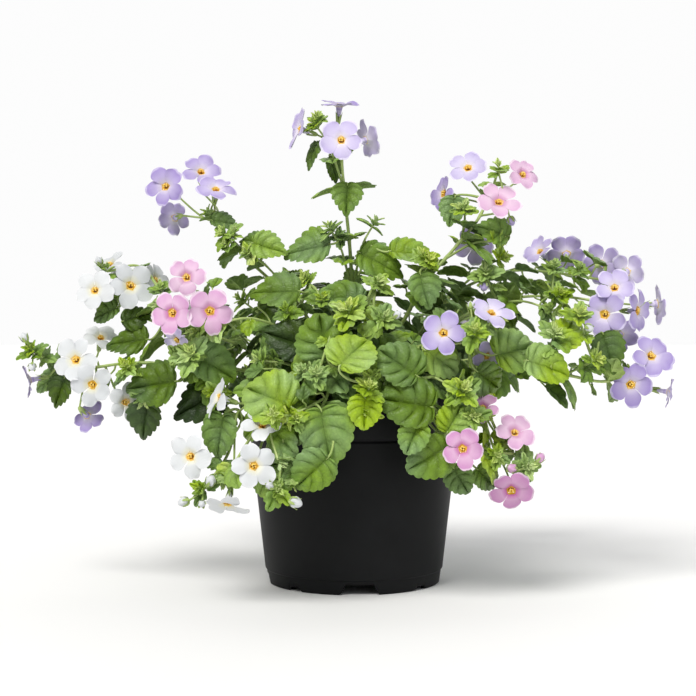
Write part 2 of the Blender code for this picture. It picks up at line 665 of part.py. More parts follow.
class Room:
    """What has been placed so far, so that a new shape can be tested against it."""

    def __init__(self):
        self.placed = []

    def add(self, node, kind, shape):
        points, faces = shape
        low = [min(p[i] for p in points) for i in range(3)]
        high = [max(p[i] for p in points) for i in range(3)]
        self.placed.append((node, kind, BVHTree.FromPolygons(points, faces), low, high))

    def blocked_by(self, node, shape, own=False, skip=()):
        """The first shape that this one would cross, of other nodes or, with own, of its own node."""
        points, faces = shape
        low = [min(p[i] for p in points) for i in range(3)]
        high = [max(p[i] for p in points) for i in range(3)]
        tree = None
        for other, kind, other_tree, other_low, other_high in self.placed:
            if (other == node) != own or kind in skip:
                continue
            if any(low[i] > other_high[i] or high[i] < other_low[i] for i in range(3)):
                continue
            tree = tree or BVHTree.FromPolygons(points, faces)
            if tree.overlap(other_tree):
                return f"{other} {kind}"
        return None


def mesh_object(name, shape, material=None):
    """A Blender object from points and faces in millimetres, its faces turned outwards."""
    points, faces = shape
    mesh = bpy.data.meshes.new(name)
    mesh.from_pydata([p * MM for p in points], [], faces)
    work = bmesh.new()
    work.from_mesh(mesh)
    bmesh.ops.recalc_face_normals(work, faces=work.faces)
    work.to_mesh(mesh)
    work.free()
    if material:
        mesh.materials.append(material)
    made = bpy.data.objects.new(name, mesh)
    bpy.context.scene.collection.objects.link(made)
    return made


def paint(name, colour, roughness):
    """A plain material of one sRGB colour."""
    material = bpy.data.materials.new(name)
    material.use_nodes = True
    shader = material.node_tree.nodes["Principled BSDF"]
    linear = [(int(colour[i : i + 2], 16) / 255) ** 2.2 for i in (1, 3, 5)]
    shader.inputs["Base Color"].default_value = (*linear, 1)
    shader.inputs["Roughness"].default_value = roughness
    shader.inputs["Metallic"].default_value = 0.0
    return material


def turned(profile, sides):
    """A body turned from a profile that starts and ends on the axis, as points and faces."""
    points = [Vector((0, 0, profile[0][1]))]
    for r, z in profile[1:-1]:
        for k in range(sides):
            angle = 2 * math.pi * k / sides
            points.append(Vector((r * math.cos(angle), r * math.sin(angle), z)))
    points.append(Vector((0, 0, profile[-1][1])))
    end = len(points) - 1
    faces = []
    for k in range(sides):
        following = (k + 1) % sides
        faces.append((0, 1 + following, 1 + k))
        faces.append((end, end - sides + k, end - sides + following))
        for i in range(len(profile) - 3):
            a, b = 1 + i * sides + k, 1 + i * sides + following
            faces += [(a, b, b + sides), (a, b + sides, a + sides)]
    return points, faces


def cut_with(body, shapes):
    """Cuts shapes out of a body, and keeps them as hidden guides."""
    cutters = gathered(body.name + "_cutters", shapes)
    for cutter in cutters.objects:
        cutter.hide_render = True
        cutter.display_type = "WIRE"
    cut = body.modifiers.new("cut", "BOOLEAN")
    cut.operation = "DIFFERENCE"
    cut.operand_type = "COLLECTION"
    cut.collection = cutters


def fuse(body, shapes):
    """Joins overlapping shapes to a body, which then is one closed body."""
    others = gathered(body.name + "_others", shapes)
    union = body.modifiers.new("union", "BOOLEAN")
    union.operation = "UNION"
    union.solver = "MANIFOLD"
    union.operand_type = "COLLECTION"
    union.collection = others
    graph = bpy.context.evaluated_depsgraph_get()
    joined = bpy.data.meshes.new_from_object(body.evaluated_get(graph))
    body.modifiers.clear()
    body.data = joined
    for other in list(others.objects):
        bpy.data.objects.remove(other)
    bpy.data.collections.remove(others)


def gathered(name, shapes):
    """A collection with an object for each shape."""
    group = bpy.data.collections.new(name)
    bpy.context.scene.collection.children.link(group)
    for k, shape in enumerate(shapes):
        piece = mesh_object(f"{name}_{k}", shape)
        bpy.context.scene.collection.objects.unlink(piece)
        group.objects.link(piece)
    return group


def notch_shape(azimuth, size):
    """A tapered block that opens one notch in the foot ring."""
    wide, narrow, height = size
    facing = toward(azimuth, 0)
    side = Vector((0, 0, 1)).cross(facing)
    points = []
    for r in (FOOT_R - 6, FOOT_R + 4):
        for half, z in ((wide / 2, -1), (narrow / 2, height)):
            middle = facing * r + Vector((0, 0, z))
            points += [middle + side * half, middle - side * half]
    return points, [(0, 1, 3, 2), (4, 6, 7, 5), (0, 4, 5, 1), (2, 3, 7, 6), (0, 2, 6, 4), (1, 5, 7, 3)]


def inner_radius(z):
    """The pot's inside radius at a height between its floor and its lip."""
    share = (z - FLOOR_TOP) / (POT_HEIGHT - FLOOR_TOP)
    return (FOOT_R + SKIRT_STEP - WALL) * (1 - share) + (RIM_R - BAND_STEP - WALL) * share


def make_pot():
    band = POT_HEIGHT - BAND_HEIGHT
    profile = (
        (0, 0), (PAD_R, 0), (PAD_R + 0.6, FLOOR_UNDER), (FOOT_R - FOOT_RING - 0.4, FLOOR_UNDER),
        (FOOT_R - FOOT_RING, 0), (FOOT_R, 0), (FOOT_R + 0.9, SKIRT_HEIGHT),
        (FOOT_R + 0.9 + SKIRT_STEP, SKIRT_HEIGHT + 0.5),
        (RIM_R - 2.4, band), (RIM_R - 2.4 + BAND_STEP, band + 0.8), (RIM_R, POT_HEIGHT - 0.6),
        (RIM_R - 0.7, POT_HEIGHT), (RIM_R - 1.4, POT_HEIGHT - 0.6),
        (inner_radius(band), band), (inner_radius(FLOOR_TOP), FLOOR_TOP), (0, FLOOR_TOP),
    )
    pot = mesh_object("pot", turned(profile, POT_SIDES), paint("pot black plastic", "#1B1C1E", 0.5))
    notches = []
    for k in range(NOTCHES):
        notches.append(notch_shape(NOTCH_TURN + 360 / NOTCHES * k, SMALL_NOTCH if k % 2 else BIG_NOTCH))
    drains = []
    for k in range(DRAIN_HOLES):
        place = toward(NOTCH_TURN + 360 / DRAIN_HOLES * (k + 0.5), 0) * DRAIN_CIRCLE
        drains.append(upright(place.x, place.y, FLOOR_UNDER - 1, FLOOR_TOP + 1, DRAIN_R, 6))
    cut_with(pot, notches + drains)
    return pot


def make_soil():
    draw = random.Random(7)
    low = FLOOR_TOP + GAP
    side = inner_radius(SOIL_TOP) - GAP - 0.2
    profile = [(0, low), (inner_radius(low) - GAP - 0.2, low), (side, SOIL_TOP)]
    profile += [(side * share, SOIL_TOP) for share in (0.78, 0.52, 0.26)] + [(0, SOIL_TOP)]
    points, faces = turned(profile, SOIL_SIDES)
    for p in points[1 + 2 * SOIL_SIDES :]:
        p.z += draw.uniform(-SOIL_RELIEF, SOIL_RELIEF)
    soil = mesh_object("soil", (points, faces), paint("dark peat", "#2E2119", 0.95))
    holes = []
    for plant in PLANTS.values():
        radius = next(iter(plant["stems"].values()))[0] * 1.25 + GAP
        holes.append(upright(*plant["hole"], SOIL_TOP - ROOT_DEPTH - 0.6, SOIL_TOP + 4, radius, 6))
    cut_with(soil, holes)
    return soil


def release(root):
    """Gives back a claimed face: the last two entries are its joint and its number."""
    root[-2]["used"].remove(root[-1])


def grow_shoots(room):
    """Every stem and twig, each rooted in the soil or on a free face of the shoot that it branches from."""
    shoots = {}
    for plant, parts in PLANTS.items():
        main_stem = None
        for name, (girth, bare, points) in parts["stems"].items():
            turn = random.Random(name).uniform(0, math.pi)
            if main_stem is None:
                x, y = parts["hole"]
                straight = tuple((x, y, SOIL_TOP + rise) for rise in (-ROOT_DEPTH, 0, 3, 7))
                route = curve_through(straight + points[1:], 4)
                shoot = main_stem = Shoot(name, plant, route, (girth, girth * 0.55), turn)
            else:
                way = (Vector(points[1]) - Vector(points[0])).normalized()
                root = main_stem.claim(points[0][2] - SOIL_TOP + ROOT_DEPTH, way)
                start = sum(main_stem.corners(*root), Vector()) / 4
                route = curve_through((start,) + points[1:], 4)
                shoot = Shoot(name, plant, route, (girth * 0.9, girth * 0.55), turn, (main_stem, *root))
            shoot.bare, shoot.twig = bare * shoot.length, False
            skin = shoot.skin(16 if main_stem is not shoot else ROOT_DEPTH + 3, CLEAR)
            found = room.blocked_by(plant, skin) or room.blocked_by(plant, skin, own=True)
            if found:
                raise ValueError(f"stem {name} is blocked by {found}")
            room.add(plant, name, shoot.skin(0 if main_stem is not shoot else ROOT_DEPTH + 3, 0))
            shoots[name] = shoot
    for number, (stem, share, end) in enumerate(TWIGS):
        parent = shoots[stem]
        found = None
        for shift in TWIG_SHIFTS:
            shoot = grow_twig(parent, share, Vector(end) + Vector(shift), f"twig_{number:02d}")
            skin = shoot.skin(min(6, shoot.length / 3), CLEAR)
            found = room.blocked_by(parent.plant, skin) or room.blocked_by(parent.plant, skin, own=True)
            if not found:
                break
            release(shoot.root)
        if found:
            raise ValueError(f"twig {number} of {stem} is blocked by {found}")
        room.add(parent.plant, shoot.name, shoot.skin(0, 0))
        shoots[shoot.name] = shoot
    return shoots


def grow_twig(parent, share, end, name):
    """A twig from a share of its parent's length to an end, rising a little on its way."""
    place, along, _, _ = parent.frame(share * parent.length)
    root = parent.claim(share * parent.length, (end - place).normalized())
    start = sum(parent.corners(*root), Vector()) / 4
    reach = (end - start).length
    middle = start.lerp(end, 0.45) + (along + Vector((0, 0, 0.5))) * reach * 0.12
    shoot = Shoot(
        name, parent.plant, curve_through((start, middle, end), 4), (TWIG_GIRTH, TWIG_GIRTH * 0.7),
        random.Random(name).uniform(0, math.pi), (parent, *root),
    )
    shoot.bare, shoot.twig = 0.35 * shoot.length, True
    return shoot


def nearest_place(shoots, plant, place):
    """The shoot of a plant, and the distance along it, nearest to a place."""
    best = None
    for shoot in shoots.values():
        if shoot.plant != plant:
            continue
        for i in range(1, 26):
            at = shoot.length * (0.15 + 0.83 * i / 25)
            point = shoot.frame(at)[0]
            if point.z > SOIL_TOP + 6 and (best is None or (point - place).length < best[0]):
                best = ((point - place).length, shoot, at)
    return best[1], best[2]


def free_face(shoots, plant, place):
    """A claimed face of the nearest shoot that still has one: the shoot, its joint and the face's number."""
    left = dict(shoots)
    claimed = None
    while claimed is None:
        shoot, at = nearest_place(left, plant, place)
        claimed = shoot.claim(at, (place - shoot.frame(at)[0]).normalized())
        del left[shoot.name]
    return (shoot, *claimed)


def bloom_variants(index, partner):
    """The bloom as listed, then shifted along its axis and, beside a partner, pulled towards it."""
    node, stem, place, look, diameter, roll = BLOOMS[index]
    for pull in BLOOM_PULLS if partner else (0,):
        for shift in BLOOM_SHIFTS:
            spot = Vector(place)
            if partner:
                spot = spot.lerp(partner["centre"], pull)
            yield make_bloom(spot, look, diameter, roll, index, shift)


def seat_blooms(shoots, room):
    """Each bloom's corolla and, in its plant, its stalk and calyx."""
    seated = []
    for index, (node, stem, place, look, diameter, roll) in enumerate(BLOOMS):
        own = f"bloom_{node}"
        plant = shoots[stem].plant
        partner = seated[-1]["bloom"] if seated and seated[-1]["own"] == own else None
        for bloom in bloom_variants(index, partner):
            neck = bloom["centre"] - bloom["axis"] * (TUBE_LENGTH + CALYX_LENGTH)
            root = free_face(shoots, plant, neck - bloom["axis"] * 6)
            corners = root[0].corners(root[1], root[2])
            rings = flower_stalk(bloom, corners, root[0].ways(root[1]["at"])[root[2]])
            stalk = tube_faces(rings)
            free = tube_faces([[a.lerp(b, 0.35) for a, b in zip(rings[0], rings[1])]] + rings[1:])
            shape = corolla_shape(bloom)
            found = (
                room.blocked_by(own, corolla_shape(bloom, CLEAR))
                or room.blocked_by(plant, stalk)
                or room.blocked_by(plant, free, own=True)
            )
            if partner and not room.blocked_by(own, shape, own=True):
                found = found or "a gap to its partner"
            if BVHTree.FromPolygons(*shape).overlap(BVHTree.FromPolygons(*stalk)):
                found = found or "its own stalk"
            if not found:
                break
            release(root)
        if found:
            raise ValueError(f"bloom {node} at {place} is blocked by {found}")
        room.add(own, "corolla", shape)
        room.add(plant, "stalk", stalk)
        seated.append({"own": own, "plant": plant, "bloom": bloom, "root": root, "rings": rings})
    return seated


def leaf_variants(leaf):
    """The leaf itself, then the same leaf tilted, turned, shrunk and shifted."""
    for tilt, turn, size, shift in LARGE_TRIES if leaf["stalked"] else LEAF_TRIES:
        spun = Matrix.Rotation(math.radians(turn), 3, leaf["normal"])
        tipped = Matrix.Rotation(math.radians(tilt), 3, leaf["side"])
        along = tipped @ (spun @ leaf["along"])
        normal = tipped @ leaf["normal"]
        base = leaf["base"] + leaf["normal"] * shift
        length = leaf["length"] * size
        yield dict(leaf, base=base, along=along, normal=normal, side=normal.cross(along), length=length)


def fit_leaf(room, plant, leaf):
    """The first variant of a leaf that is clear of everything placed, or None."""
    for changed in leaf_variants(leaf):
        if room.blocked_by(plant, leaf_shape(changed, CLEAR)):
            continue
        if room.blocked_by(plant, outer_blade(changed, CLEAR), own=True):
            continue
        room.add(plant, "blade", leaf_shape(changed))
        return changed
    return None


def leaves_along(shoot):
    """Opposite pairs of leaves up a shoot, each pair square to the last, smaller towards the tip."""
    draw = random.Random(shoot.name)
    at = shoot.bare + draw.uniform(0, 4)
    count = 0
    while at < shoot.length - 2:
        share = at / shoot.length
        last = at > shoot.length - 8
        if last and not shoot.twig:
            return
        if last:
            at = shoot.length - JOINT - 0.5
        place, along, _, _ = shoot.frame(at)
        out = (place - CORE).normalized()
        size = TIP_LEAF if last else (TWIG_LEAF if shoot.twig else STEM_LEAF) * (1.1 - 0.4 * share)
        for k in range(2):
            way = shoot.ways(at)[(count % 2) + 2 * k]
            normal = (out * 0.75 + Vector((0, 0, 0.6)) - way * 0.15 + along * 0.25).normalized()
            if last:
                normal = (along - way * 0.7 + out * 0.3).normalized()
            normal.x += draw.uniform(-0.22, 0.22)
            normal.y += draw.uniform(-0.22, 0.22)
            reach = way * 0.9 + along * 0.45 + out * 0.45 - Vector((0, 0, 0.15))
            yield at, way, reach, normal, size * draw.uniform(0.85, 1.15), f"{shoot.name} {count} {k}", last
        at += (TWIG_SPACING if shoot.twig else STEM_SPACING) * (1.2 - 0.5 * share)
        count += 1


def place_leaves(shoots, room):
    """The large leaves placed by hand, then the pairs along each shoot, where there is room for them."""
    placed = []
    for index, (plant, centre, length, turn, look) in enumerate(LEAVES):
        normal = toward(*look)
        angle = math.radians(turn)
        along = across(Vector((math.cos(angle), 0, math.sin(angle))), normal)
        base = Vector(centre) - along * length * 0.48
        root = free_face(shoots, plant, base - along * 3)
        corners = root[0].corners(root[1], root[2])
        leaf = make_leaf(corners, base, along, normal, length, 1.0, f"leaf {index}", LARGE_EDGE, True)
        fitted = fit_leaf(room, plant, leaf)
        if fitted is None:
            raise ValueError(f"large leaf {index} at {centre} finds no room")
        placed.append((root, fitted))
    for shoot in shoots.values():
        for at, way, reach, normal, length, seed, last in leaves_along(shoot):
            claimed = shoot.claim(at, way, 1.5)
            if not claimed:
                continue
            corners = shoot.corners(*claimed)
            edge = TIP_EDGE if last else SMALL_EDGE
            leaf = make_leaf(corners, sum(corners, Vector()) / 4, reach, normal, length, 0.98, seed, edge)
            fitted = fit_leaf(room, shoot.plant, leaf)
            if fitted:
                placed.append(((shoot, *claimed), fitted))
            else:
                release(claimed)
    return placed


def matched(corners, ring):
    """The corners in the turn that lies nearest to a ring, as their numbers."""
    best = min(range(4), key=lambda r: sum((corners[(r + i) % 4] - ring[i]).length for i in range(4)))
    return [(best + i) % 4 for i in range(4)]


def plant_mesh(plant, shoots, seated, placed):
    """One closed skin: the shoots' tubes, and a leaf, stalk or twig on each face that carries one."""
    points, faces = [], []
    taken = {}
    for shoot in (s for s in shoots.values() if s.plant == plant):
        stops = [0.0] if shoot.root is None else []
        for joint in sorted(shoot.joints, key=lambda j: j["at"]):
            if joint["used"]:
                stops += [joint["at"] - JOINT, joint["at"] + JOINT]
        stops.append(shoot.length)
        spaced = []
        for a, b in zip([0.0] + stops, stops):
            count = max(1, round((b - a) / STEM_STEP))
            spaced += [a + (b - a) * i / count for i in range(1, count + 1)] if b > a else [b]
        spaced = [0.0] + spaced if shoot.root is None and spaced[0] > 0 else spaced
        rings = [shoot.ring(at) for at in spaced]
        if shoot.root is None:
            numbers = [add_points(points, ring) for ring in rings]
            faces.append(tuple(numbers[0][::-1]))
        else:
            parent, joint, k = shoot.root
            root = taken[(parent.name, joint["at"], k)]
            order = matched([points[i] for i in root], rings[0])
            numbers = [[root[i] for i in order]] + [add_points(points, ring) for ring in rings]
            spaced = [0.0] + spaced
        for i in range(len(numbers) - 1):
            low, high = numbers[i], numbers[i + 1]
            carrying = [j for j in shoot.joints if j["used"] and abs(j["at"] - JOINT - spaced[i]) < 1e-6]
            for k in range(4):
                quad = [low[k], low[(k + 1) % 4], high[(k + 1) % 4], high[k]]
                if carrying and k in carrying[0]["used"]:
                    taken[(shoot.name, carrying[0]["at"], k)] = quad
                else:
                    faces.append(tuple(quad))
        end = add_points(points, [shoot.point()])[0]
        faces += [(numbers[-1][k], numbers[-1][(k + 1) % 4], end) for k in range(4)]
    for seat in (s for s in seated if s["plant"] == plant):
        parent, joint, k = seat["root"]
        shape_points, shape_faces = tube_faces(seat["rings"])
        graft(points, faces, taken[(parent.name, joint["at"], k)], shape_points, shape_faces)
        last = len(points)
        faces.append((last - 4, last - 3, last - 2, last - 1))
    for (parent, joint, k), leaf in placed:
        if parent.plant == plant:
            graft(points, faces, taken[(parent.name, joint["at"], k)], *leaf_shape(leaf))
    return points, faces


def add_points(points, new):
    points += new
    return list(range(len(points) - len(new), len(points)))


def graft(points, faces, root, shape_points, shape_faces):
    """Adds a shape whose first four points are the corners of a face that is already there."""
    numbers = list(root) + add_points(points, shape_points[4:])
    faces += [tuple(numbers[i] for i in face) for face in shape_faces]


def main():
    for old in list(bpy.data.objects):
        bpy.data.objects.remove(old)
    room = Room()
    make_pot()
    make_soil()
    over_soil = SOIL_TOP + SOIL_RELIEF + 0.4
    outer = ((0, 0), (FOOT_R + 1, 0), (RIM_R + 0.5, POT_HEIGHT + 0.3), (RIM_R - 2.5, POT_HEIGHT + 0.3))
    room.add("pot", "wall", turned(outer + ((RIM_R - 4, over_soil), (0, over_soil)), 24))
    shoots = grow_shoots(room)
    seated = seat_blooms(shoots, room)
    placed = place_leaves(shoots, room)
    print(len(shoots), "shoots", len(seated), "blooms", len(placed), "leaves")
    greens = ("#5E8A35", "#4F7D30", "#6A9A3C", "#587F38", "#4C7434", "#5F8C40")
    for plant, green in zip(PLANTS, greens):
        mesh_object(plant, plant_mesh(plant, shoots, seated, placed), paint(plant + " green", green, 0.5))
    petals = {"lavender": "#C9B8EE", "pink": "#EDB6E6", "white": "#F4F6F5"}
    corollas = {}
    for seat in seated:
        corollas.setdefault(seat["own"], []).append(corolla_shape(seat["bloom"]))
    for own, pieces in corollas.items():
        bloom = mesh_object(own, pieces[0], paint(own + " petals", petals[own.split("_")[1]], 0.6))
        if len(pieces) > 1:
            fuse(bloom, pieces[1:])


main()
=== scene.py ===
"""A flowering bacopa in its nursery pot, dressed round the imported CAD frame, +Z up, its front to -Y.

Sizes and places are in millimetres, and MM turns them into metres. Each section is one piece, or a group of
like pieces, in the order in which the potted plant is put together.
"""

import json
import math
import random

import bmesh
import bpy
from mathutils import Matrix, Vector, noise
from mathutils.bvhtree import BVHTree
from mathutils.kdtree import KDTree

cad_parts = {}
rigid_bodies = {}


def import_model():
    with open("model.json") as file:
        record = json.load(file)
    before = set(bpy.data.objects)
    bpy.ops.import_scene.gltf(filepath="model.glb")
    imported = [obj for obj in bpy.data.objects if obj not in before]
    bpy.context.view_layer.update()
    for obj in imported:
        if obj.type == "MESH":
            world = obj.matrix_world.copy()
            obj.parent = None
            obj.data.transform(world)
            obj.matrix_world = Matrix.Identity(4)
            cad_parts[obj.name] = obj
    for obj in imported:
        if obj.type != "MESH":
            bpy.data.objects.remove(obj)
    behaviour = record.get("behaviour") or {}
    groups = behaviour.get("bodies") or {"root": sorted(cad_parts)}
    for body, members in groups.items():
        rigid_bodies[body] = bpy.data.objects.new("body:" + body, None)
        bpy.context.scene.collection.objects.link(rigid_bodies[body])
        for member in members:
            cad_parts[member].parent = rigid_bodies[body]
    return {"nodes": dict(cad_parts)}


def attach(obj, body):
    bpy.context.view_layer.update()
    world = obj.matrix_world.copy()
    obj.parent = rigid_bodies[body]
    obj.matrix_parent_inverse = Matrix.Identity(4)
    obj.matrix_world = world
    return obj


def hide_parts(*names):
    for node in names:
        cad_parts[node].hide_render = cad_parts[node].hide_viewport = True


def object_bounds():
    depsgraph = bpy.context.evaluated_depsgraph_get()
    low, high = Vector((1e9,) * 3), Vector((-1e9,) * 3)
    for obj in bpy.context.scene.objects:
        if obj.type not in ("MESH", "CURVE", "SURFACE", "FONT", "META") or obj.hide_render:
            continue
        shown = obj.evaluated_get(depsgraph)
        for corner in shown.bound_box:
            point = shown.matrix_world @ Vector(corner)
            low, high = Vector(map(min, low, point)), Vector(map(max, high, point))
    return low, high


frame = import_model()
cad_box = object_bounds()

# Pot: one piece of black polypropylene, injection-moulded. Its wall tapers down to a foot ring with eight
# notches, a band stands proud of it round the rim over a fine groove, and its raised floor has four drain
# holes and a pad in the middle.
MM, UP = 0.001, Vector((0, 0, 1))
POT_HEIGHT, RIM_R, FOOT_R = 104.0, 60.0, 47.6
WALL_TOP_R, BAND_HEIGHT, BAND_STEP, GROOVE = RIM_R - 2.4, 21.5, 1.2, 0.7
SKIRT_R, SKIRT_HEIGHT, SKIRT_STEP = FOOT_R + 0.9, 7.4, 0.8
WALL, FLOOR_UNDER, FLOOR_TOP = 1.2, 5.2, 6.7
FOOT_RING, PAD_R = 2.4, 9.0
EDGE, POT_SIDES, HOLE_SIDES = 0.7, 144, 24
NOTCHES, NOTCH_TURN = 8, 3.4
BIG_NOTCH, SMALL_NOTCH = (22.0, 15.0, 5.4), (10.0, 7.0, 2.2)
DRAIN_HOLES, DRAIN_R, DRAIN_CIRCLE = 4, 3.6, 30.0
MOULD_GRAIN = 0.35


def toward(azimuth, elevation):
    """The direction of an azimuth, 0 to the front and 90 to the right, and an elevation."""
    a, e = math.radians(azimuth), math.radians(elevation)
    return Vector((math.sin(a) * math.cos(e), -math.cos(a) * math.cos(e), math.sin(e)))


def linear(colour):
    """An sRGB hex colour as linear red, green, blue and alpha."""
    shares = [int(colour[i : i + 2], 16) / 255 for i in (1, 3, 5)]
    return (*(s / 12.92 if s <= 0.04045 else ((s + 0.055) / 1.055) ** 2.4 for s in shares), 1.0)


def feed(node, inputs):
    """Gives a node its inputs: another node's output is linked, and anything else is the input's value."""
    for name, value in inputs.items():
        if isinstance(value, bpy.types.NodeSocket):
            node.id_data.links.new(value, node.inputs[name])
        else:
            node.inputs[name].default_value = value


def surface(name, settings):
    """A new material, and its shader with the settings."""
    material = bpy.data.materials.new(name)
    material.use_nodes = True
    shader = material.node_tree.nodes["Principled BSDF"]
    feed(shader, settings)
    return material, shader


def add(material, kind, settings):
    """Adds a node with its settings and inputs, and returns its outputs.

    The stops are a colour ramp's, and the ends a map range's: from low and high, to low and high.
    """
    node = material.node_tree.nodes.new("ShaderNode" + kind)
    for name, value in settings.items():
        if name == "stops":
            ramp = node.color_ramp.elements
            while len(ramp) < len(value):
                ramp.new(1.0)
            for stop, (place, colour) in zip(ramp, value):
                stop.position, stop.color = place, linear(colour)
        elif name == "ends":
            feed(node, dict(zip(("From Min", "From Max", "To Min", "To Max"), value)))
        elif isinstance(name, str) and hasattr(node, name):
            setattr(node, name, value)
        else:
            feed(node, {name: value})
    return node.outputs


def solid(name, points, faces, materials, numbers=None, smooth=60):
    """A Blender object from points in millimetres, smooth but for edges sharper than an angle."""
    mesh = bpy.data.meshes.new(name)
    mesh.from_pydata([tuple(p * MM for p in point) for point in points], [], faces)
    for material in materials:
        mesh.materials.append(material)
    if numbers:
        mesh.polygons.foreach_set("material_index", numbers)
    mesh.shade_smooth()
    mesh.set_sharp_from_angle(angle=math.radians(smooth))
    made = bpy.data.objects.new(name, mesh)
    bpy.context.scene.collection.objects.link(made)
    return made


def around(sides):
    """The cosine and sine of each of the even steps round a circle."""
    angles = [2 * math.pi * k / sides for k in range(sides)]
    return [(math.cos(angle), math.sin(angle)) for angle in angles]


def bands(rings, sides):
    """The faces between rings of points."""
    faces = []
    for i in range(rings - 1):
        for k in range(sides):
            a, b = i * sides + k, i * sides + (k + 1) % sides
            faces.append((a, b, b + sides, a + sides))
    return faces


def drum(rings, sides):
    """The faces over rings of points, closed by a flat face at both ends."""
    last = (rings - 1) * sides
    return bands(rings, sides) + [tuple(range(sides))[::-1], tuple(range(last, last + sides))]


def turned(profile, sides):
    """A body turned from a profile that starts and ends on the axis, as points and faces."""
    points = [Vector((0, 0, profile[0][1]))]
    for r, z in profile[1:-1]:
        points += [Vector((r * c, r * s, z)) for c, s in around(sides)]
    points.append(Vector((0, 0, profile[-1][1])))
    faces, end = [], len(points) - 1
    for k in range(sides):
        following = (k + 1) % sides
        faces += [(0, 1 + following, 1 + k), (end, end - sides + k, end - sides + following)]
        for i in range(len(profile) - 3):
            a, b = 1 + i * sides + k, 1 + i * sides + following
            faces.append((a, b, b + sides, a + sides))
    return points, faces


def eased(profile, radius):
    """A profile with its corners rounded by three points each, as moulded edges are."""
    rounded = [profile[0]]
    for before, corner, after in zip(profile, profile[1:], profile[2:]):
        a, b, c = Vector(before), Vector(corner), Vector(after)
        reach = min(radius, (a - b).length * 0.4, (c - b).length * 0.4)
        start, stop = b + (a - b).normalized() * reach, b + (c - b).normalized() * reach
        rounded += [tuple(start), tuple((start + 2 * b + stop) / 4), tuple(stop)]
    return rounded + [profile[-1]]


def inner_radius(z):
    """The pot's inside radius at a height between its floor and its lip."""
    share = (z - FLOOR_TOP) / (POT_HEIGHT - FLOOR_TOP)
    return (FOOT_R + SKIRT_STEP - WALL) * (1 - share) + (RIM_R - BAND_STEP - WALL) * share


def notch_shape(azimuth, size):
    """A tapered block that opens one notch, and reaches past the foot ring on its three open sides."""
    wide, narrow, height = size
    facing = toward(azimuth, 0)
    side = UP.cross(facing)
    points = []
    for r in (FOOT_R - 6, FOOT_R + 4):
        for half, z in ((wide / 2, -1), (narrow / 2, height)):
            middle = facing * r + UP * z
            points += [middle + side * half, middle - side * half]
    return points, [(0, 1, 3, 2), (4, 6, 7, 5), (0, 4, 5, 1), (2, 3, 7, 6), (0, 2, 6, 4), (1, 5, 7, 3)]


def upright(x, y, low, high, radius, sides):
    """A closed upright prism, as points and faces."""
    points = [Vector((x + radius * c, y + radius * s, z)) for z in (low, high) for c, s in around(sides)]
    return points, drum(2, sides)


def merged(shapes):
    """Several shapes as one, as points and faces."""
    points, faces = [], []
    for more, sides in shapes:
        faces += [tuple(len(points) + i for i in side) for side in sides]
        points += more
    return points, faces


def cut_with(body, shapes):
    """Cuts closed shapes out of a body for good."""
    cutters = bpy.data.collections.new("cutters")
    bpy.context.scene.collection.children.link(cutters)
    for points, faces in shapes:
        cutter = solid("cutter", points, faces, [])
        work = bmesh.new()
        work.from_mesh(cutter.data)
        bmesh.ops.recalc_face_normals(work, faces=work.faces)
        work.to_mesh(cutter.data)
        work.free()
        bpy.context.scene.collection.objects.unlink(cutter)
        cutters.objects.link(cutter)
    cut = body.modifiers.new("cut", "BOOLEAN")
    cut.operation, cut.operand_type, cut.collection = "DIFFERENCE", "COLLECTION", cutters
    view = bpy.context.evaluated_depsgraph_get()
    uncut = body.data
    body.data = bpy.data.meshes.new_from_object(body.evaluated_get(view))
    body.modifiers.clear()
    for unused in [uncut] + [cutter.data for cutter in cutters.objects]:
        bpy.data.meshes.remove(unused)
    bpy.data.collections.remove(cutters)


band = POT_HEIGHT - BAND_HEIGHT
pot_profile = (
    (0, 0), (PAD_R, 0), (PAD_R + 0.6, FLOOR_UNDER), (FOOT_R - FOOT_RING - 0.4, FLOOR_UNDER),
    (FOOT_R - FOOT_RING, 0), (FOOT_R, 0), (SKIRT_R, SKIRT_HEIGHT), (SKIRT_R + SKIRT_STEP, SKIRT_HEIGHT + 0.5),
    (WALL_TOP_R, band - 1.5), (WALL_TOP_R - GROOVE, band - 0.9), (WALL_TOP_R - GROOVE, band - 0.1),
    (WALL_TOP_R + BAND_STEP, band + 0.2), (RIM_R, POT_HEIGHT - 0.6), (RIM_R - 0.7, POT_HEIGHT),
    (RIM_R - 1.4, POT_HEIGHT - 0.6), (inner_radius(band), band), (inner_radius(FLOOR_TOP), FLOOR_TOP),
    (0, FLOOR_TOP),
)

# Black polypropylene from a spark-eroded mould: a fine even grain that breaks the light into a broad dull
# sheen, so the wall is a soft grey where it faces the lamps. The grain is drawn at twice its real width.
pot_plastic, shader = surface("black moulded polypropylene", {"IOR": 1.49, "Specular IOR Level": 0.14})
place = add(pot_plastic, "TexCoord", {})["Object"]
grain = add(pot_plastic, "TexNoise", {"Scale": 1 / (MOULD_GRAIN * MM), "Detail": 2.0, "Vector": place})["Fac"]
patches = add(pot_plastic, "TexNoise", {"Scale": 1 / (22 * MM), "Detail": 4.0, "Vector": place})["Fac"]
blacks = ((0.3, "#0F1011"), (0.7, "#161718"))
feed(shader, {
    "Base Color": add(pot_plastic, "ValToRGB", {"stops": blacks, "Fac": patches})["Color"],
    "Roughness": add(pot_plastic, "MapRange", {"ends": (0, 1, 0.46, 0.6), "Value": patches})["Result"],
    "Normal": add(pot_plastic, "Bump", {"Strength": 0.25, "Distance": 0.06 * MM, "Height": grain})["Normal"],
})

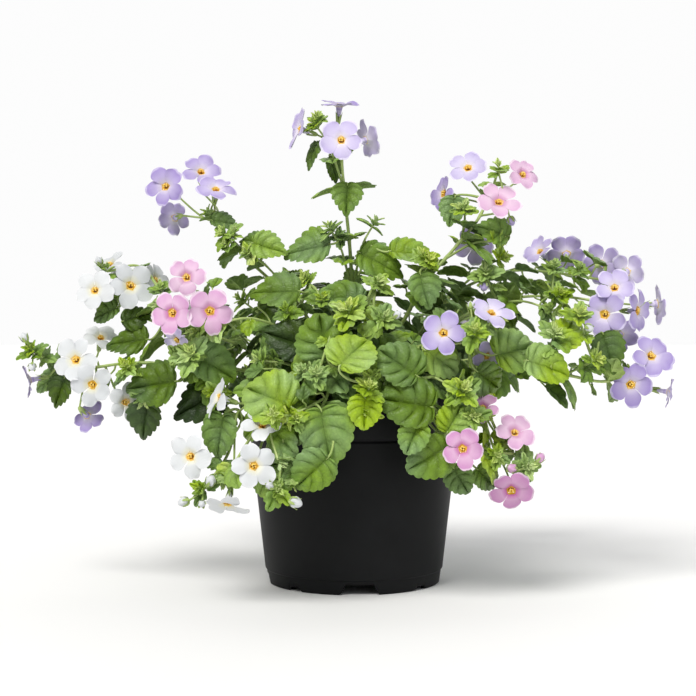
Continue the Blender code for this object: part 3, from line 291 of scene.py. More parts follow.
pot = solid("nursery_pot", *turned(eased(pot_profile, EDGE), POT_SIDES), [pot_plastic], smooth=32)
openings = []
for k in range(NOTCHES):
    openings.append(notch_shape(NOTCH_TURN + 360 / NOTCHES * k, SMALL_NOTCH if k % 2 else BIG_NOTCH))
for k in range(DRAIN_HOLES):
    hole = toward(NOTCH_TURN + 360 / DRAIN_HOLES * (k + 0.5), 0) * DRAIN_CIRCLE
    openings.append(upright(hole.x, hole.y, FLOOR_UNDER - 1, FLOOR_TOP + 1, DRAIN_R, HOLE_SIDES))
cut_with(pot, openings)
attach(pot, "root")
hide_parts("pot")

# Soil: the plug of black peat that the plants were potted in. It fills the pot to 12 mm under the lip, and
# its top is loose crumbs and shallow pits.
SOIL_TOP, SOIL_SIDES, ROOT_DEPTH, GAP = 92.0, 96, 18.0, 0.35
SOIL_RINGS, SOIL_RELIEF, EDGE_RINGS = 26, 1.6, 3
CRUMBS = 420


def lump(centre, size, draw):
    """A small angular crumb, as points and faces."""
    points = []
    for corner in ((1, 0, 0), (0, 1, 0), (-1, 0, 0), (0, -1, 0), (0, 0, 1), (0, 0, -1)):
        points.append(centre + Vector(corner) * size * draw.uniform(0.55, 1.15))
    angle = draw.uniform(0, 3)
    turn = Matrix.Rotation(angle, 3, Vector((draw.uniform(-1, 1), draw.uniform(-1, 1), 1)).normalized())
    points = [centre + turn @ (p - centre) for p in points]
    return points, [(0, 1, 4), (1, 2, 4), (2, 3, 4), (3, 0, 4), (1, 0, 5), (2, 1, 5), (3, 2, 5), (0, 3, 5)]


soil_low = FLOOR_TOP + GAP
soil_side = inner_radius(SOIL_TOP) - GAP - 0.2
soil_profile = [(0, soil_low), (inner_radius(soil_low) - GAP - 0.2, soil_low), (soil_side, SOIL_TOP - 0.6)]
soil_profile += [(soil_side * (1 - k / SOIL_RINGS), SOIL_TOP) for k in range(SOIL_RINGS)] + [(0, SOIL_TOP)]
soil_shapes = [turned(soil_profile, SOIL_SIDES)]
for point in soil_shapes[0][0][1 + EDGE_RINGS * SOIL_SIDES :]:
    coarse, fine = noise.fractal(point / 9, 1.0, 2.0, 3), noise.fractal(point / 2.2, 1.0, 2.0, 2)
    point.z += SOIL_RELIEF * (0.7 * coarse + 0.6 * fine) - 0.4
draw = random.Random(5)
for k in range(CRUMBS):
    angle, reach = draw.uniform(0, 2 * math.pi), soil_side * math.sqrt(draw.uniform(0, 0.94))
    size = draw.uniform(0.7, 2.4)
    centre = Vector((reach * math.cos(angle), reach * math.sin(angle), SOIL_TOP - size * 0.1))
    soil_shapes.append(lump(centre, size, draw))

# Damp milled peat: nearly black, quite matt and mottled brown; the mottle also sets the relief, so its pits
# carry painted shade
peat, shader = surface("damp milled peat", {"Roughness": 0.95, "Specular IOR Level": 0.25})
place = add(peat, "TexCoord", {})["Object"]
peat_mottle_and_pit_shade = add(peat, "TexNoise", {"Scale": 1 / (3 * MM), "Detail": 6.0, "Vector": place})["Fac"]
# The mottle follows the bump: the darkest brown lies in the pits as painted shade, the browner tones on the
# rises
browns = ((0.32, "#120D0A"), (0.55, "#2A1D15"), (0.74, "#4B3728"))
feed(shader, {
    "Base Color": add(peat, "ValToRGB", {"stops": browns, "Fac": peat_mottle_and_pit_shade})["Color"],
    "Normal": add(peat, "Bump", {"Strength": 0.8, "Distance": 0.5 * MM, "Height": peat_mottle_and_pit_shade})["Normal"],
})

soil = solid("peat", *merged(soil_shapes), [peat], smooth=50)
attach(soil, "root")
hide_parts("soil")

# Stems and twigs: green shoots that root in the soil and arch over the rim, olive and brownish where they are
# old. The routes repeat those of the CAD solids, whose corners say which way each twig was grown.
STEM_SIDES, STEM_BIT, ROUTE_STEP = 10, 3.0, 4
JOINT, JOINT_TRIES = 1.1, 24
TWIG_GIRTH, TWIG_BARE = 0.8, 0.35
NEAR = 0.03

# Each plant's stems: girth, leafless share and route. The first one roots in the soil, and the others branch
# from it at the height of their first point.
PLANTS = {
    "plant_crown": {
        "crown": (1.5, 0.3, (
            (-2, 7, 92), (-2, 4, 120), (-1, 0, 156), (-2, -1, 181), (-4, 0, 203), (-6, 1, 223),
            (-7, 1, 237),
        )),
        "left_high": (1.4, 0.34, (
            (-2, 7, 97), (-12, 12, 118), (-30, 12, 152), (-50, 15, 170), (-67, 15, 186), (-81, 15, 204),
        )),
        "right_high": (1.5, 0.34, (
            (-2, 7, 96), (10, 4, 118), (26, -3, 142), (39, -4, 165), (56, 0, 185), (69, 0, 201),
            (75, 2, 214),
        )),
    },
    "plant_left": {
        "left_white": (1.3, 0.22, (
            (-24, -4, 92), (-42, -3, 118), (-68, -8, 133), (-100, -10, 141), (-122, -6, 149),
            (-133, -2, 158),
        )),
        "far_left": (1.3, 0.2, (
            (-24, -4, 96), (-40, -18, 110), (-60, -28, 118), (-87, -32, 121), (-120, -28, 122),
            (-148, -22, 119), (-167, -16, 125),
        )),
        "left_pink": (1.2, 0.24, (
            (-24, -4, 97), (-24, -22, 118), (-36, -36, 138), (-54, -45, 146), (-72, -49, 143),
            (-82, -50, 140),
        )),
    },
    "plant_low_left": {
        "low_left": (1.3, 0.26, (
            (-12, -26, 92), (-20, -40, 113), (-32, -63, 118), (-43, -75, 101), (-55, -81, 82),
            (-65, -82, 66),
        )),
        "low_front": (1.2, 0.28, (
            (-12, -26, 96), (-8, -46, 112), (-10, -64, 116), (-16, -78, 102), (-24, -85, 82),
            (-30, -86, 66),
        )),
    },
    "plant_right_front": {
        "low_right": (1.3, 0.26, (
            (16, -20, 92), (19, -38, 113), (26, -62, 118), (35, -73, 102), (47, -73, 87), (64, -68, 78),
            (84, -60, 76),
        )),
        "right_face": (1.1, 0.34, (
            (16, -20, 97), (22, -36, 120), (32, -50, 131), (45, -57, 132), (60, -58, 134),
        )),
        "right_trail": (1.4, 0.24, (
            (16, -20, 96), (36, -28, 110), (58, -36, 118), (86, -40, 119), (112, -37, 116), (134, -30, 112),
            (149, -24, 117),
        )),
    },
    "plant_right": {
        "right_mid": (1.3, 0.26, (
            (24, 6, 92), (38, 4, 124), (60, 8, 146), (90, 12, 157), (116, 6, 158), (137, -3, 155),
        )),
        "right_back": (1.3, 0.24, (
            (24, 6, 97), (34, 22, 130), (56, 38, 158), (90, 48, 173), (122, 52, 172), (148, 50, 168),
        )),
    },
    "plant_back": {
        "back_centre": (1.3, 0.22, (
            (-4, 30, 92), (-4, 52, 122), (-10, 80, 134), (-20, 106, 128), (-28, 122, 112),
        )),
        "back_left": (1.3, 0.22, (
            (-4, 30, 96), (-26, 46, 122), (-54, 70, 138), (-82, 92, 137), (-102, 106, 124),
        )),
        "back_right": (1.3, 0.22, (
            (-4, 30, 97), (20, 50, 120), (48, 76, 133), (74, 98, 127), (90, 114, 110),
        )),
    },
}

# Side twigs of each stem: the share of the stem where one starts, and its end
TWIGS = (
    ("crown", (
        (0.28, (-26, -22, 166)), (0.3, (12, -26, 164)), (0.34, (-2, 30, 166)), (0.56, (-13, -5, 195)),
        (0.56, (5, -4, 198)), (0.9, (-21, -5, 252)),
    )),
    ("left_high", ((0.45, (-58, -4, 182)), (0.72, (-72, 4, 193)))),
    ("right_high", ((0.42, (40, -22, 176)), (0.7, (79, -6, 188)), (0.8, (60, -10, 206)))),
    ("left_white", ((0.42, (-84, 6, 157)), (0.6, (-104, -30, 152)), (0.3, (-66, 22, 136)))),
    ("far_left", ((0.34, (-72, -54, 108)), (0.5, (-92, -48, 126)), (0.62, (-112, -40, 104)))),
    ("left_pink", ((0.4, (-42, -54, 124)),)),
    ("low_left", ((0.34, (-48, -60, 124)), (0.56, (-62, -66, 96)), (0.7, (-38, -91, 76)))),
    ("low_front", ((0.36, (-22, -78, 119)), (0.58, (-32, -92, 98)))),
    ("low_right", (
        (0.24, (8, -78, 116)), (0.34, (6, -84, 100)), (0.42, (52, -76, 110)), (0.66, (66, -66, 96)),
    )),
    ("right_face", ((0.3, (2, -56, 150)), (0.72, (62, -68, 146)))),
    ("right_trail", ((0.32, (66, -56, 108)), (0.5, (100, -56, 122)), (0.72, (126, -48, 124)))),
    ("right_mid", ((0.36, (78, -14, 146)), (0.56, (108, -20, 150)), (0.4, (74, 30, 146)))),
    ("right_back", ((0.46, (84, 24, 180)), (0.4, (64, 66, 150)))),
    ("back_centre", ((0.5, (-30, 78, 152)), (0.62, (-2, 104, 112)))),
    ("back_left", ((0.4, (-66, 56, 156)), (0.56, (-92, 70, 120)), (0.36, (-44, 80, 110)))),
    ("back_right", ((0.4, (44, 64, 156)), (0.56, (82, 78, 120)), (0.44, (40, 92, 108)))),
    ("left_high", ((0.12, (-42, 42, 126)),)), ("crown", ((0.16, (24, 44, 136)),)),
    ("right_back", ((0.14, (60, 26, 118)),)), ("right_mid", ((0.16, (66, -10, 124)),)),
    ("back_left", ((0.14, (-58, 34, 114)),)), ("back_right", ((0.16, (52, 52, 112)),)),
    ("back_centre", ((0.18, (-26, 70, 112)),)), ("left_white", ((0.16, (-62, 18, 112)),)),
)
# Shifts of a twig's end, tried in order
TWIG_SHIFTS = (
    (0, 0, 0), (0, 6, 0), (0, -6, 0), (0, 0, 6), (0, 0, -6), (6, 0, 0), (-6, 0, 0), (0, 10, 8), (0, -10, 8),
)


def across(direction, normal):
    """The direction turned square to the normal, at unit length."""
    flat = direction - normal * direction.dot(normal)
    return flat.normalized() if flat.length > 1e-3 else normal.orthogonal().normalized()


def curve_through(points, step):
    """Points about a step apart on a Catmull-Rom curve through the given ones."""
    points = [Vector(p) for p in points]
    ends = [2 * points[0] - points[1]] + points + [2 * points[-1] - points[-2]]
    route = [points[0]]
    for a, b, c, d in zip(ends, ends[1:], ends[2:], ends[3:]):
        count = max(1, round((c - b).length / step))
        for k in range(1, count + 1):
            t = k / count
            bend = (2 * a - 5 * b + 4 * c - d) * t**2 + (3 * b - a - 3 * c + d) * t**3
            route.append(0.5 * (2 * b + (c - a) * t + bend))
    return route


def flattened(groups):
    """The rows of all groups in one list, each with its group's name in front."""
    return [(name, *row) for name, rows in groups for row in rows]


class Shoot:
    """A stem or twig. Four-sided, so its faces point the four ways that opposite pairs of leaves grow."""

    def __init__(self, name, plant, route, girths, bare, root=None, twig=False):
        self.name, self.plant, self.route, self.girths = name, plant, route, girths
        self.root, self.twig = root, twig
        self.reach = [0.0]
        for a, b in zip(route, route[1:]):
            self.reach.append(self.reach[-1] + (b - a).length)
        self.length = self.reach[-1]
        self.bare = bare * self.length
        along = (route[1] - route[0]).normalized()
        turn = random.Random(name).uniform(0, math.pi)
        side = Matrix.Rotation(turn, 3, along) @ along.orthogonal().normalized()
        self.sides = []
        for i in range(len(route)):
            side = across(side, (route[min(i + 1, len(route) - 1)] - route[max(i - 1, 0)]).normalized())
            self.sides.append(side)
        self.joints = []

    def frame(self, at):
        """The point, direction, side and girth at a distance along the shoot."""
        at = min(max(at, 0.0), self.length)
        i = max(k for k in range(len(self.reach) - 1) if self.reach[k] <= at)
        t = (at - self.reach[i]) / (self.reach[i + 1] - self.reach[i])
        before, after = max(i - 1, 0), min(i + 2, len(self.route) - 1)
        first = (self.route[i + 1] - self.route[before]).normalized()
        second = (self.route[after] - self.route[i]).normalized()
        along = first.lerp(second, t).normalized()
        side = across(self.sides[i].lerp(self.sides[i + 1], t), along)
        girth = self.girths[0] + (self.girths[1] - self.girths[0]) * at / self.length
        return self.route[i].lerp(self.route[i + 1], t), along, side, girth

    def ring(self, at):
        """Four corners, turning from side to along x side, with face k between corners k and k + 1."""
        place, along, side, girth = self.frame(at)
        other = along.cross(side)
        angles = [math.pi / 2 * k - math.pi / 4 for k in range(4)]
        return [place + (side * math.cos(a) + other * math.sin(a)) * (girth * 1.2) for a in angles]

    def ways(self, at):
        """The directions that the four faces look."""
        _, along, side, _ = self.frame(at)
        other = along.cross(side)
        return [side, other, -side, -other]

    def claim(self, at, way, near=4.5):
        """The free face nearest to a place and a direction, as its joint and the face's number."""
        low, high = JOINT, self.length - JOINT
        if high <= low:
            return None
        at = min(max(at, low), high)
        order = sorted(range(4), key=lambda k: -self.ways(at)[k].dot(way))[:2]
        for joint in self.joints:
            for k in order if abs(joint["at"] - at) < near else ():
                if k not in joint["used"]:
                    joint["used"].append(k)
                    return joint, k
        for step in range(JOINT_TRIES):
            spot = at + (step // 2 + 1) * 0.7 * (1 if step % 2 else -1) if step else at
            clear = all(abs(joint["at"] - spot) >= 2 * JOINT + 0.4 for joint in self.joints)
            if low <= spot <= high and clear:
                joint = {"at": spot, "used": [order[0]]}
                self.joints.append(joint)
                return joint, order[0]
        return None

    def seat(self, joint, k):
        """The middle of a joint's face, and the way that it looks."""
        low, high = self.ring(joint["at"] - JOINT), self.ring(joint["at"] + JOINT)
        corners = [low[k], low[(k + 1) % 4], high[(k + 1) % 4], high[k]]
        return sum(corners, Vector()) / 4, self.ways(joint["at"])[k]

    def point(self):
        """The point of the closed bud that ends a shoot."""
        tip, along, _, girth = self.frame(self.length)
        return tip + along * girth * 4


def release(root):
    """Gives back a claimed face: the last two entries are its joint and its number."""
    root[-2]["used"].remove(root[-1])


corners_of = {}
for name, node in frame["nodes"].items():
    corners_of[name] = KDTree(len(node.data.vertices))
    for corner in node.data.vertices:
        corners_of[name].insert(corner.co / MM, corner.index)
    corners_of[name].balance()


def has_corner(name, place):
    """Whether the CAD node has a corner at a place."""
    return corners_of[name].find(place)[2] < NEAR


def grow_twig(parent, share, end, name):
    """A twig from a share of its parent's length to an end, rising a little on its way."""
    place, along, _, _ = parent.frame(share * parent.length)
    root = parent.claim(share * parent.length, (end - place).normalized())
    start = parent.seat(*root)[0]
    reach = (end - start).length
    middle = start.lerp(end, 0.45) + (along + UP * 0.5) * reach * 0.12
    route = curve_through((start, middle, end), ROUTE_STEP)
    return Shoot(name, parent.plant, route, (TWIG_GIRTH, TWIG_GIRTH * 0.7), TWIG_BARE, (parent, *root), True)


shoots = {}
for plant, listed in PLANTS.items():
    main_stem = None
    for name, (girth, bare, points) in listed.items():
        if main_stem is None:
            x, y, _ = points[0]
            straight = tuple((x, y, SOIL_TOP + rise) for rise in (-ROOT_DEPTH, 0, 3, 7))
            route = curve_through(straight + points[1:], ROUTE_STEP)
            shoots[name] = main_stem = Shoot(name, plant, route, (girth, girth * 0.55), bare)
        else:
            way = (Vector(points[1]) - Vector(points[0])).normalized()
            root = main_stem.claim(points[0][2] - SOIL_TOP + ROOT_DEPTH, way)
            route = curve_through((main_stem.seat(*root)[0],) + points[1:], ROUTE_STEP)
            shoots[name] = Shoot(name, plant, route, (girth * 0.9, girth * 0.55), bare, (main_stem, *root))
for number, (stem, share, end) in enumerate(flattened(TWIGS)):
    for shift in TWIG_SHIFTS:
        shoot = grow_twig(shoots[stem], share, Vector(end) + Vector(shift), f"twig_{number:02d}")
        if has_corner(shoot.plant, shoot.point()):
            shoots[shoot.name] = shoot
            break
        release(shoot.root)


class Growth:
    """The points, faces, materials, ages and blade places of one piece, gathered shape by shape."""

    def __init__(self):
        self.points, self.faces, self.numbers, self.ages, self.spots = [], [], [], [], []

    def grow(self, shape, age, numbers=None, spots=None):
        """Adds a shape. Age runs from 0, young, to 1, old; spots are each point's place on its blade."""
        points, faces = shape
        first = len(self.points)
        self.points += points
        self.faces += [tuple(first + i for i in face) for face in faces]
        self.numbers += numbers or [0] * len(faces)
        self.ages += age if isinstance(age, list) else [age] * len(points)
        self.spots += spots or [(0.5, 0.5)] * len(points)

    def made(self, name, materials, smooth=60):
        """The piece, with its ages and blade places as attributes for its materials."""
        piece = solid(name, self.points, self.faces, materials, self.numbers, smooth)
        piece.data.attributes.new("age", "FLOAT", "POINT").data.foreach_set("value", self.ages)
        layer = piece.data.uv_layers.new(name="blade")
        spots = []
        for loop in piece.data.loops:
            spots += self.spots[loop.vertex_index]
        layer.data.foreach_set("uv", spots)
        return piece


def tube(places, radii, sides):
    """A round tube through places, closed with a point at both ends, as points and faces."""
    points, side, circle = [], UP, around(sides)
    for i, (place, radius) in enumerate(zip(places, radii)):
        along = (places[min(i + 1, len(places) - 1)] - places[max(i - 1, 0)]).normalized()
        side = across(side, along)
        other = along.cross(side)
        points += [place + (side * c + other * s) * radius for c, s in circle]
    faces, end = bands(len(places), sides), len(points)
    for k in range(sides):
        following = (k + 1) % sides
        faces += [(end, following, k), (end + 1, end - sides + k, end - sides + following)]
    return points + [places[0], places[-1]], faces


# Living shoot: smooth and slightly waxy, lime green where it is young, olive green with a brown flush where
# it is old, so the stems read paler and yellower than the leaves round them
stem_skin, shader = surface("fresh green stem", {
    "Roughness": 0.45, "IOR": 1.42, "Subsurface Weight": 0.1,
    "Subsurface Radius": (0.4 * MM, 0.8 * MM, 0.2 * MM),
})
age = add(stem_skin, "Attribute", {"attribute_name": "age"})["Fac"]
place = add(stem_skin, "TexCoord", {})["Object"]
flush = add(stem_skin, "TexNoise", {"Scale": 1 / (5 * MM), "Detail": 3.0, "Vector": place})["Fac"]
worn = add(stem_skin, "Math", {"operation": "MULTIPLY_ADD", 0: flush, 1: 0.5, 2: age})["Value"]
stem_greens = ((0.2, "#C4D58A"), (0.5, "#A2B86A"), (0.85, "#84984E"), (1.0, "#767240"))
feed(shader, {
    "Base Color": add(stem_skin, "ValToRGB", {"stops": stem_greens, "Fac": worn})["Color"],
    "Normal": add(stem_skin, "Bump", {"Strength": 0.3, "Distance": 0.2 * MM, "Height": flush})["Normal"],
})
stems = {plant: Growth() for plant in PLANTS}

# Flower stalks and calyces: each bloom stands on a thread-like green stalk that ends in a calyx of five
# narrow pointed sepals clasping the tube of the flower.
STALK_GIRTH, LONG_STALK, STALK_BITS, STALK_PLACES = 0.62, 28.0, 12, 25
TUBE_LENGTH, THROAT_DEPTH = 7.0, 1.6
CALYX_LENGTH, SEPALS, SEPAL_LENGTH = 4.0, 5, 6.4

# Blooms on each stem: node, centre of the face, (azimuth, elevation) it looks, diameter and roll, and for
# some the depth of colour, from 0, just open and pale, to 1.8, old; the 1.8 of pink_08 also darkens it as
# painted shade. The others lie between 0 and 1.
BLOOMS = (
    ("crown", (
        ("lavender_01", (-31, 0, 251), (-70, 15), 24, 10),
        ("lavender_02", (-8, 9, 266), (20, 76), 24, 0, 1.1),
        ("lavender_03", (-7, -12, 243), (-5, 15), 25, 6, 0.1),
        ("lavender_04", (8, 16, 247), (120, 20), 23, 30),
    )),
    ("left_high", (
        ("lavender_05", (-106, 8, 220), (-15, 10), 24, -8, 1.0),
        ("lavender_06", (-88, 34, 231), (10, 35), 24, 12, 0.7),
        ("lavender_07", (-78, 16, 218), (15, 55), 25, 0, 0.6),
        ("lavender_08", (-103, 26, 203), (-150, -5), 21, 0),
    )),
    ("right_high", (
        ("lavender_09", (64, 12, 231), (-10, 30), 24, 20), ("lavender_10", (50, 20, 217), (-60, 10), 22, 0),
        ("lavender_11", (70, 36, 188), (170, 0), 24, 0),
        ("pink_01", (79, -16, 210), (10, 35), 25, -10, 0.1),
        ("pink_02", (94, -2, 226), (25, 25), 21, 5, 0.15),
    )),
    ("left_pink", (
        ("pink_03", (-89, -41, 168), (-8, 12), 23, 15, 0.1),
        ("pink_04", (-94, -64, 149), (-12, 5), 24, -5, 0.5),
        ("pink_04", (-71, -60, 150), (8, 0), 25, 8, 0.4),
        ("lavender_12", (-95, -38, 134), (-40, -20), 18, 0),
    )),
    ("left_white", (
        ("white_01", (-122, -14, 164), (10, 10), 26, -12), ("white_01", (-145, -10, 160), (-12, 15), 24, 5),
        ("white_02", (-138, 13, 177), (-30, 50), 20, 0), ("white_03", (-112, 20, 168), (60, 20), 22, 10),
    )),
    ("far_left", (
        ("white_04", (-150, -30, 124), (-15, 15), 26, 8), ("white_04", (-139, -42, 107), (-5, -5), 24, -15),
        ("white_05", (-122, -32, 101), (25, 0), 22, 20), ("white_06", (-141, 2, 136), (20, 50), 22, 0),
        ("lavender_13", (-178, -16, 112), (-80, -10), 20, 0, 1.4),
        ("lavender_14", (-145, -16, 92), (160, -30), 20, 0, 1.1),
    )),
    ("low_left", (
        ("white_07", (-68, -72, 106), (-70, 20), 24, 0), ("white_08", (-84, -74, 76), (-20, 5), 25, 10),
        ("white_09", (-50, -93, 73), (5, 5), 24, -20), ("white_10", (-46, -84, 92), (-10, 48), 22, 0),
        ("white_11", (-64, -86, 52), (-20, -60), 24, 0),
    )),
    ("right_face", (
        ("lavender_15", (45, -76, 139), (-5, 10), 24, 12), ("lavender_16", (70, -74, 150), (25, 50), 24, 0),
        ("lavender_17", (70, -52, 126), (30, -20), 20, 0),
    )),
    ("right_back", (
        ("lavender_18", (110, 58, 186), (-50, 40), 22, 0),
        ("lavender_19", (126, 56, 184), (175, 24), 24, 0),
        ("lavender_20", (148, 62, 178), (154, 8), 25, 12), ("lavender_20", (165, 52, 172), (144, 0), 24, 0),
    )),
    ("right_mid", (
        ("lavender_21", (141, -22, 163), (-5, 25), 23, 6, 0.3),
        ("lavender_21", (132, -33, 146), (-15, 5), 26, -10, 0.6),
        ("lavender_22", (156, -15, 150), (55, 0), 25, 20), ("lavender_23", (171, 4, 154), (95, 5), 25, 0),
        ("lavender_24", (149, 2, 136), (150, -20), 22, 0),
    )),
    ("right_trail", (
        ("lavender_25", (161, -25, 126), (15, 20), 26, -6, 0.8),
        ("lavender_25", (147, -33, 107), (5, -5), 26, 10, 1.2),
        ("lavender_26", (170, -18, 106), (75, -10), 18, 0),
    )),
    ("low_right", (
        ("pink_05", (54, -86, 81), (-5, 5), 23, 8, 0.8), ("pink_06", (83, -64, 88), (15, 30), 22, -12, 0.2),
        # pink_08 is a deeper magenta, and also listed dark as painted shade for its place low under the plant
        ("pink_07", (67, -62, 97), (-20, 40), 20, 0), ("pink_08", (80, -74, 57), (0, -25), 24, 5, 1.8),
    )),
    ("back_left", (
        ("white_12", (-96, 108, 148), (-160, 32), 24, 0), ("white_12", (-115, 113, 132), (-135, 8), 25, 18),
        ("white_12", (-104, 122, 116), (-150, 0), 24, 0),
    )),
    ("back_centre", (
        ("pink_09", (-20, 122, 137), (172, 30), 24, 0), ("pink_10", (-40, 130, 112), (-165, 0), 24, 15),
        ("pink_11", (-12, 132, 104), (165, -10), 23, 0),
    )),
    ("back_right", (
        ("lavender_27", (72, 108, 142), (160, 35), 24, 0),
        ("lavender_28", (97, 120, 120), (145, 5), 25, 10),
        ("lavender_29", (80, 128, 99), (165, -20), 24, 0),
    )),
)
# Shifts of a bloom along its axis, and its pulls towards the bloom that it has grown into, tried in order
BLOOM_SHIFTS = (0, 2, -2, 4, -4, 6, -6, 8)
BLOOM_PULLS = (0, 0.08, 0.16, 0.24, 0.32, 0.4)


def nearest_place(among, plant, place):
    """The shoot of a plant, and the distance along it, nearest to a place."""
    best = None
    for shoot in among.values():
        for i in range(1, STALK_PLACES + 1) if shoot.plant == plant else ():
            at = shoot.length * (0.15 + 0.83 * i / STALK_PLACES)
            point = shoot.frame(at)[0]
            if point.z > SOIL_TOP + 6 and (best is None or (point - place).length < best[0]):
                best = ((point - place).length, shoot, at)
    return best[1], best[2]


def free_face(plant, place):
    """A claimed face of the nearest shoot that still has one: the shoot, its joint and the face's number."""
    left = dict(shoots)
    claimed = None
    while claimed is None:
        shoot, at = nearest_place(left, plant, place)
        claimed = shoot.claim(at, (place - shoot.frame(at)[0]).normalized())
        del left[shoot.name]
    return (shoot, *claimed)


def bloom_variants(place, look, size, partner):
    """The centre and frame of a bloom as listed, then shifted along its axis and pulled towards a partner."""
    axis = toward(*look)
    up = across(UP, axis)
    for pull in BLOOM_PULLS if partner else (0,):
        spot = Vector(place).lerp(partner["centre"], pull) if partner else Vector(place)
        for shift in BLOOM_SHIFTS:
            yield dict(size, centre=spot + axis * shift, axis=axis, up=up, right=up.cross(axis))


def seated_blooms():
    """Each bloom where the CAD has its throat, with the face of the stem that its stalk grows from."""
    seated = []
    for seed, (stem, node, place, look, diameter, roll, *tone) in enumerate(flattened(BLOOMS)):
        own, plant = f"bloom_{node}", shoots[stem].plant
        tone = tone[0] if tone else random.Random(f"tone {seed}").random()
        size = {"own": own, "plant": plant, "radius": diameter / 2, "roll": roll, "seed": seed, "tone": tone}
        partner = seated[-1] if seated and seated[-1]["own"] == own else None
        for bloom in bloom_variants(place, look, size, partner):
            neck = bloom["centre"] - bloom["axis"] * (TUBE_LENGTH + CALYX_LENGTH)
            root = free_face(plant, neck - bloom["axis"] * 6)
            if has_corner(own, bloom["centre"] - bloom["axis"] * THROAT_DEPTH):
                seated.append(dict(bloom, root=root))
                break
            release(root)
    return seated


def bent(start, out, back, end, count):
    """Count + 1 places on a curve from start to end that leaves towards out and arrives from back."""
    places = []
    for k in range(count + 1):
        t = k / count
        leaving = (1 - t) ** 3 * start + 3 * (1 - t) ** 2 * t * out
        places.append(leaving + 3 * (1 - t) * t**2 * back + t**3 * end)
    return places


def stalk_route(bloom, root, way):
    """The places that a bloom's stalk runs through, from the stem to the foot of the calyx."""
    neck = bloom["centre"] - bloom["axis"] * (TUBE_LENGTH + GAP + CALYX_LENGTH)
    reach = (neck - root).length
    if reach <= LONG_STALK:
        return bent(root, root.lerp(neck, 0.33), root.lerp(neck, 0.67), neck, STALK_BITS)
    return bent(root, root + way * reach * 0.35, neck - bloom["axis"] * reach * 0.35, neck, STALK_BITS)


def sepal(foot, axis, outward, length, flare, draw, girth=1.0):
    """A narrow pointed green leaf that hugs a flower's tube of a girth, as points and faces."""
    side, thick = axis.cross(outward), outward * 0.18
    widths = ((0, 0.45), (0.3, 0.8), (0.6, 0.72), (0.85, 0.4))
    points = []
    for share, half in widths:
        reach = girth * min(1.0, 0.8 + share) + 0.5 * share + flare * share * share
        middle = foot + axis * length * share + outward * reach
        points += [middle - side * half, middle + thick, middle + side * half, middle - thick]
    last = len(points) - 4
    points.append(foot + axis * length + outward * (girth + 0.5 + flare * draw.uniform(0.9, 1.5)))
    tip = [(last + k, last + (k + 1) % 4, last + 4) for k in range(4)]
    return points, bands(len(widths), 4) + tip + [(3, 2, 1, 0)]


seated = seated_blooms()
for bloom in seated:
    parent, joint, k = bloom["root"]
    foot, way = parent.seat(joint, k)
    growth, axis = stems[bloom["plant"]], bloom["axis"]
    route = stalk_route(bloom, foot - way * 0.6, way)
    radii = [STALK_GIRTH * (1.15 - 0.35 * i / STALK_BITS) for i in range(STALK_BITS + 1)]
    growth.grow(tube(route, radii, 8), 0.25)
    neck = route[-1]
    cup = [neck - axis * 0.5 + axis * rise for rise in (0, 0.5, 1.4, 2.6)]
    growth.grow(tube(cup, (0.55, 1.0, 1.35, 1.3), 10), 0.15)
    draw = random.Random(f"calyx {bloom['seed']}")
    for n in range(SEPALS):
        angle = math.radians(bloom["roll"] + 360 / SEPALS * n)
        outward = bloom["right"] * math.cos(angle) + bloom["up"] * math.sin(angle)
        length = SEPAL_LENGTH * draw.uniform(0.85, 1.15)
        growth.grow(sepal(neck, axis, outward, length, draw.uniform(0.2, 1.1), draw), 0.3)

# Leaves: opposite pairs of broad heart-shaped blades with blunt teeth, on short stalks. The skin bulges up
# between sunken veins that fan out from the base. Old leaves are a dull dark green, young ones lime.
STEM_LEAF, STEM_SPACING = 23.0, 33.0
TWIG_LEAF, TWIG_SPACING = 20.0, 22.0
TIP_LEAF, TIP_ZONE, LEAF_STALK_BITS = 9.0, 8.0, 9
# Of the pairs, blades up to the smallest ovate one are narrow. Of the large leaves, those that stand high or
# are ripe have sharp teeth.
SMALLEST_OVATE, HIGH, RIPE = 9.5, 160, 0.7
BLADE_THICK, BULGE, MIDRIB_SINK = 0.34, 0.060, 0.034
CORE = Vector((0.0, 0.0, 112.0))

# Half outlines of a blade, from its stalk round to its tip, as shares of its length
BROAD = (
    (-0.02, 0.015), (-0.06, 0.10), (-0.06, 0.22), (0.01, 0.35), (0.13, 0.45), (0.29, 0.49), (0.47, 0.48),
    (0.64, 0.42), (0.79, 0.32), (0.91, 0.19), (0.975, 0.08), (1.0, 0.0),
)
SHARP = (
    (0.0, 0.015), (-0.02, 0.10), (0.02, 0.24), (0.11, 0.37), (0.24, 0.45), (0.40, 0.46), (0.56, 0.40),
    (0.71, 0.30), (0.84, 0.19), (0.94, 0.08), (1.0, 0.0),
)
OVATE = (
    (0.0, 0.015), (0.05, 0.12), (0.15, 0.28), (0.29, 0.40), (0.45, 0.45), (0.60, 0.41), (0.73, 0.32),
    (0.85, 0.21), (0.94, 0.10), (1.0, 0.0),
)
NARROW = (
    (0.0, 0.02), (0.12, 0.12), (0.28, 0.25), (0.46, 0.31), (0.64, 0.27), (0.80, 0.17), (0.92, 0.08),
    (1.0, 0.0),
)

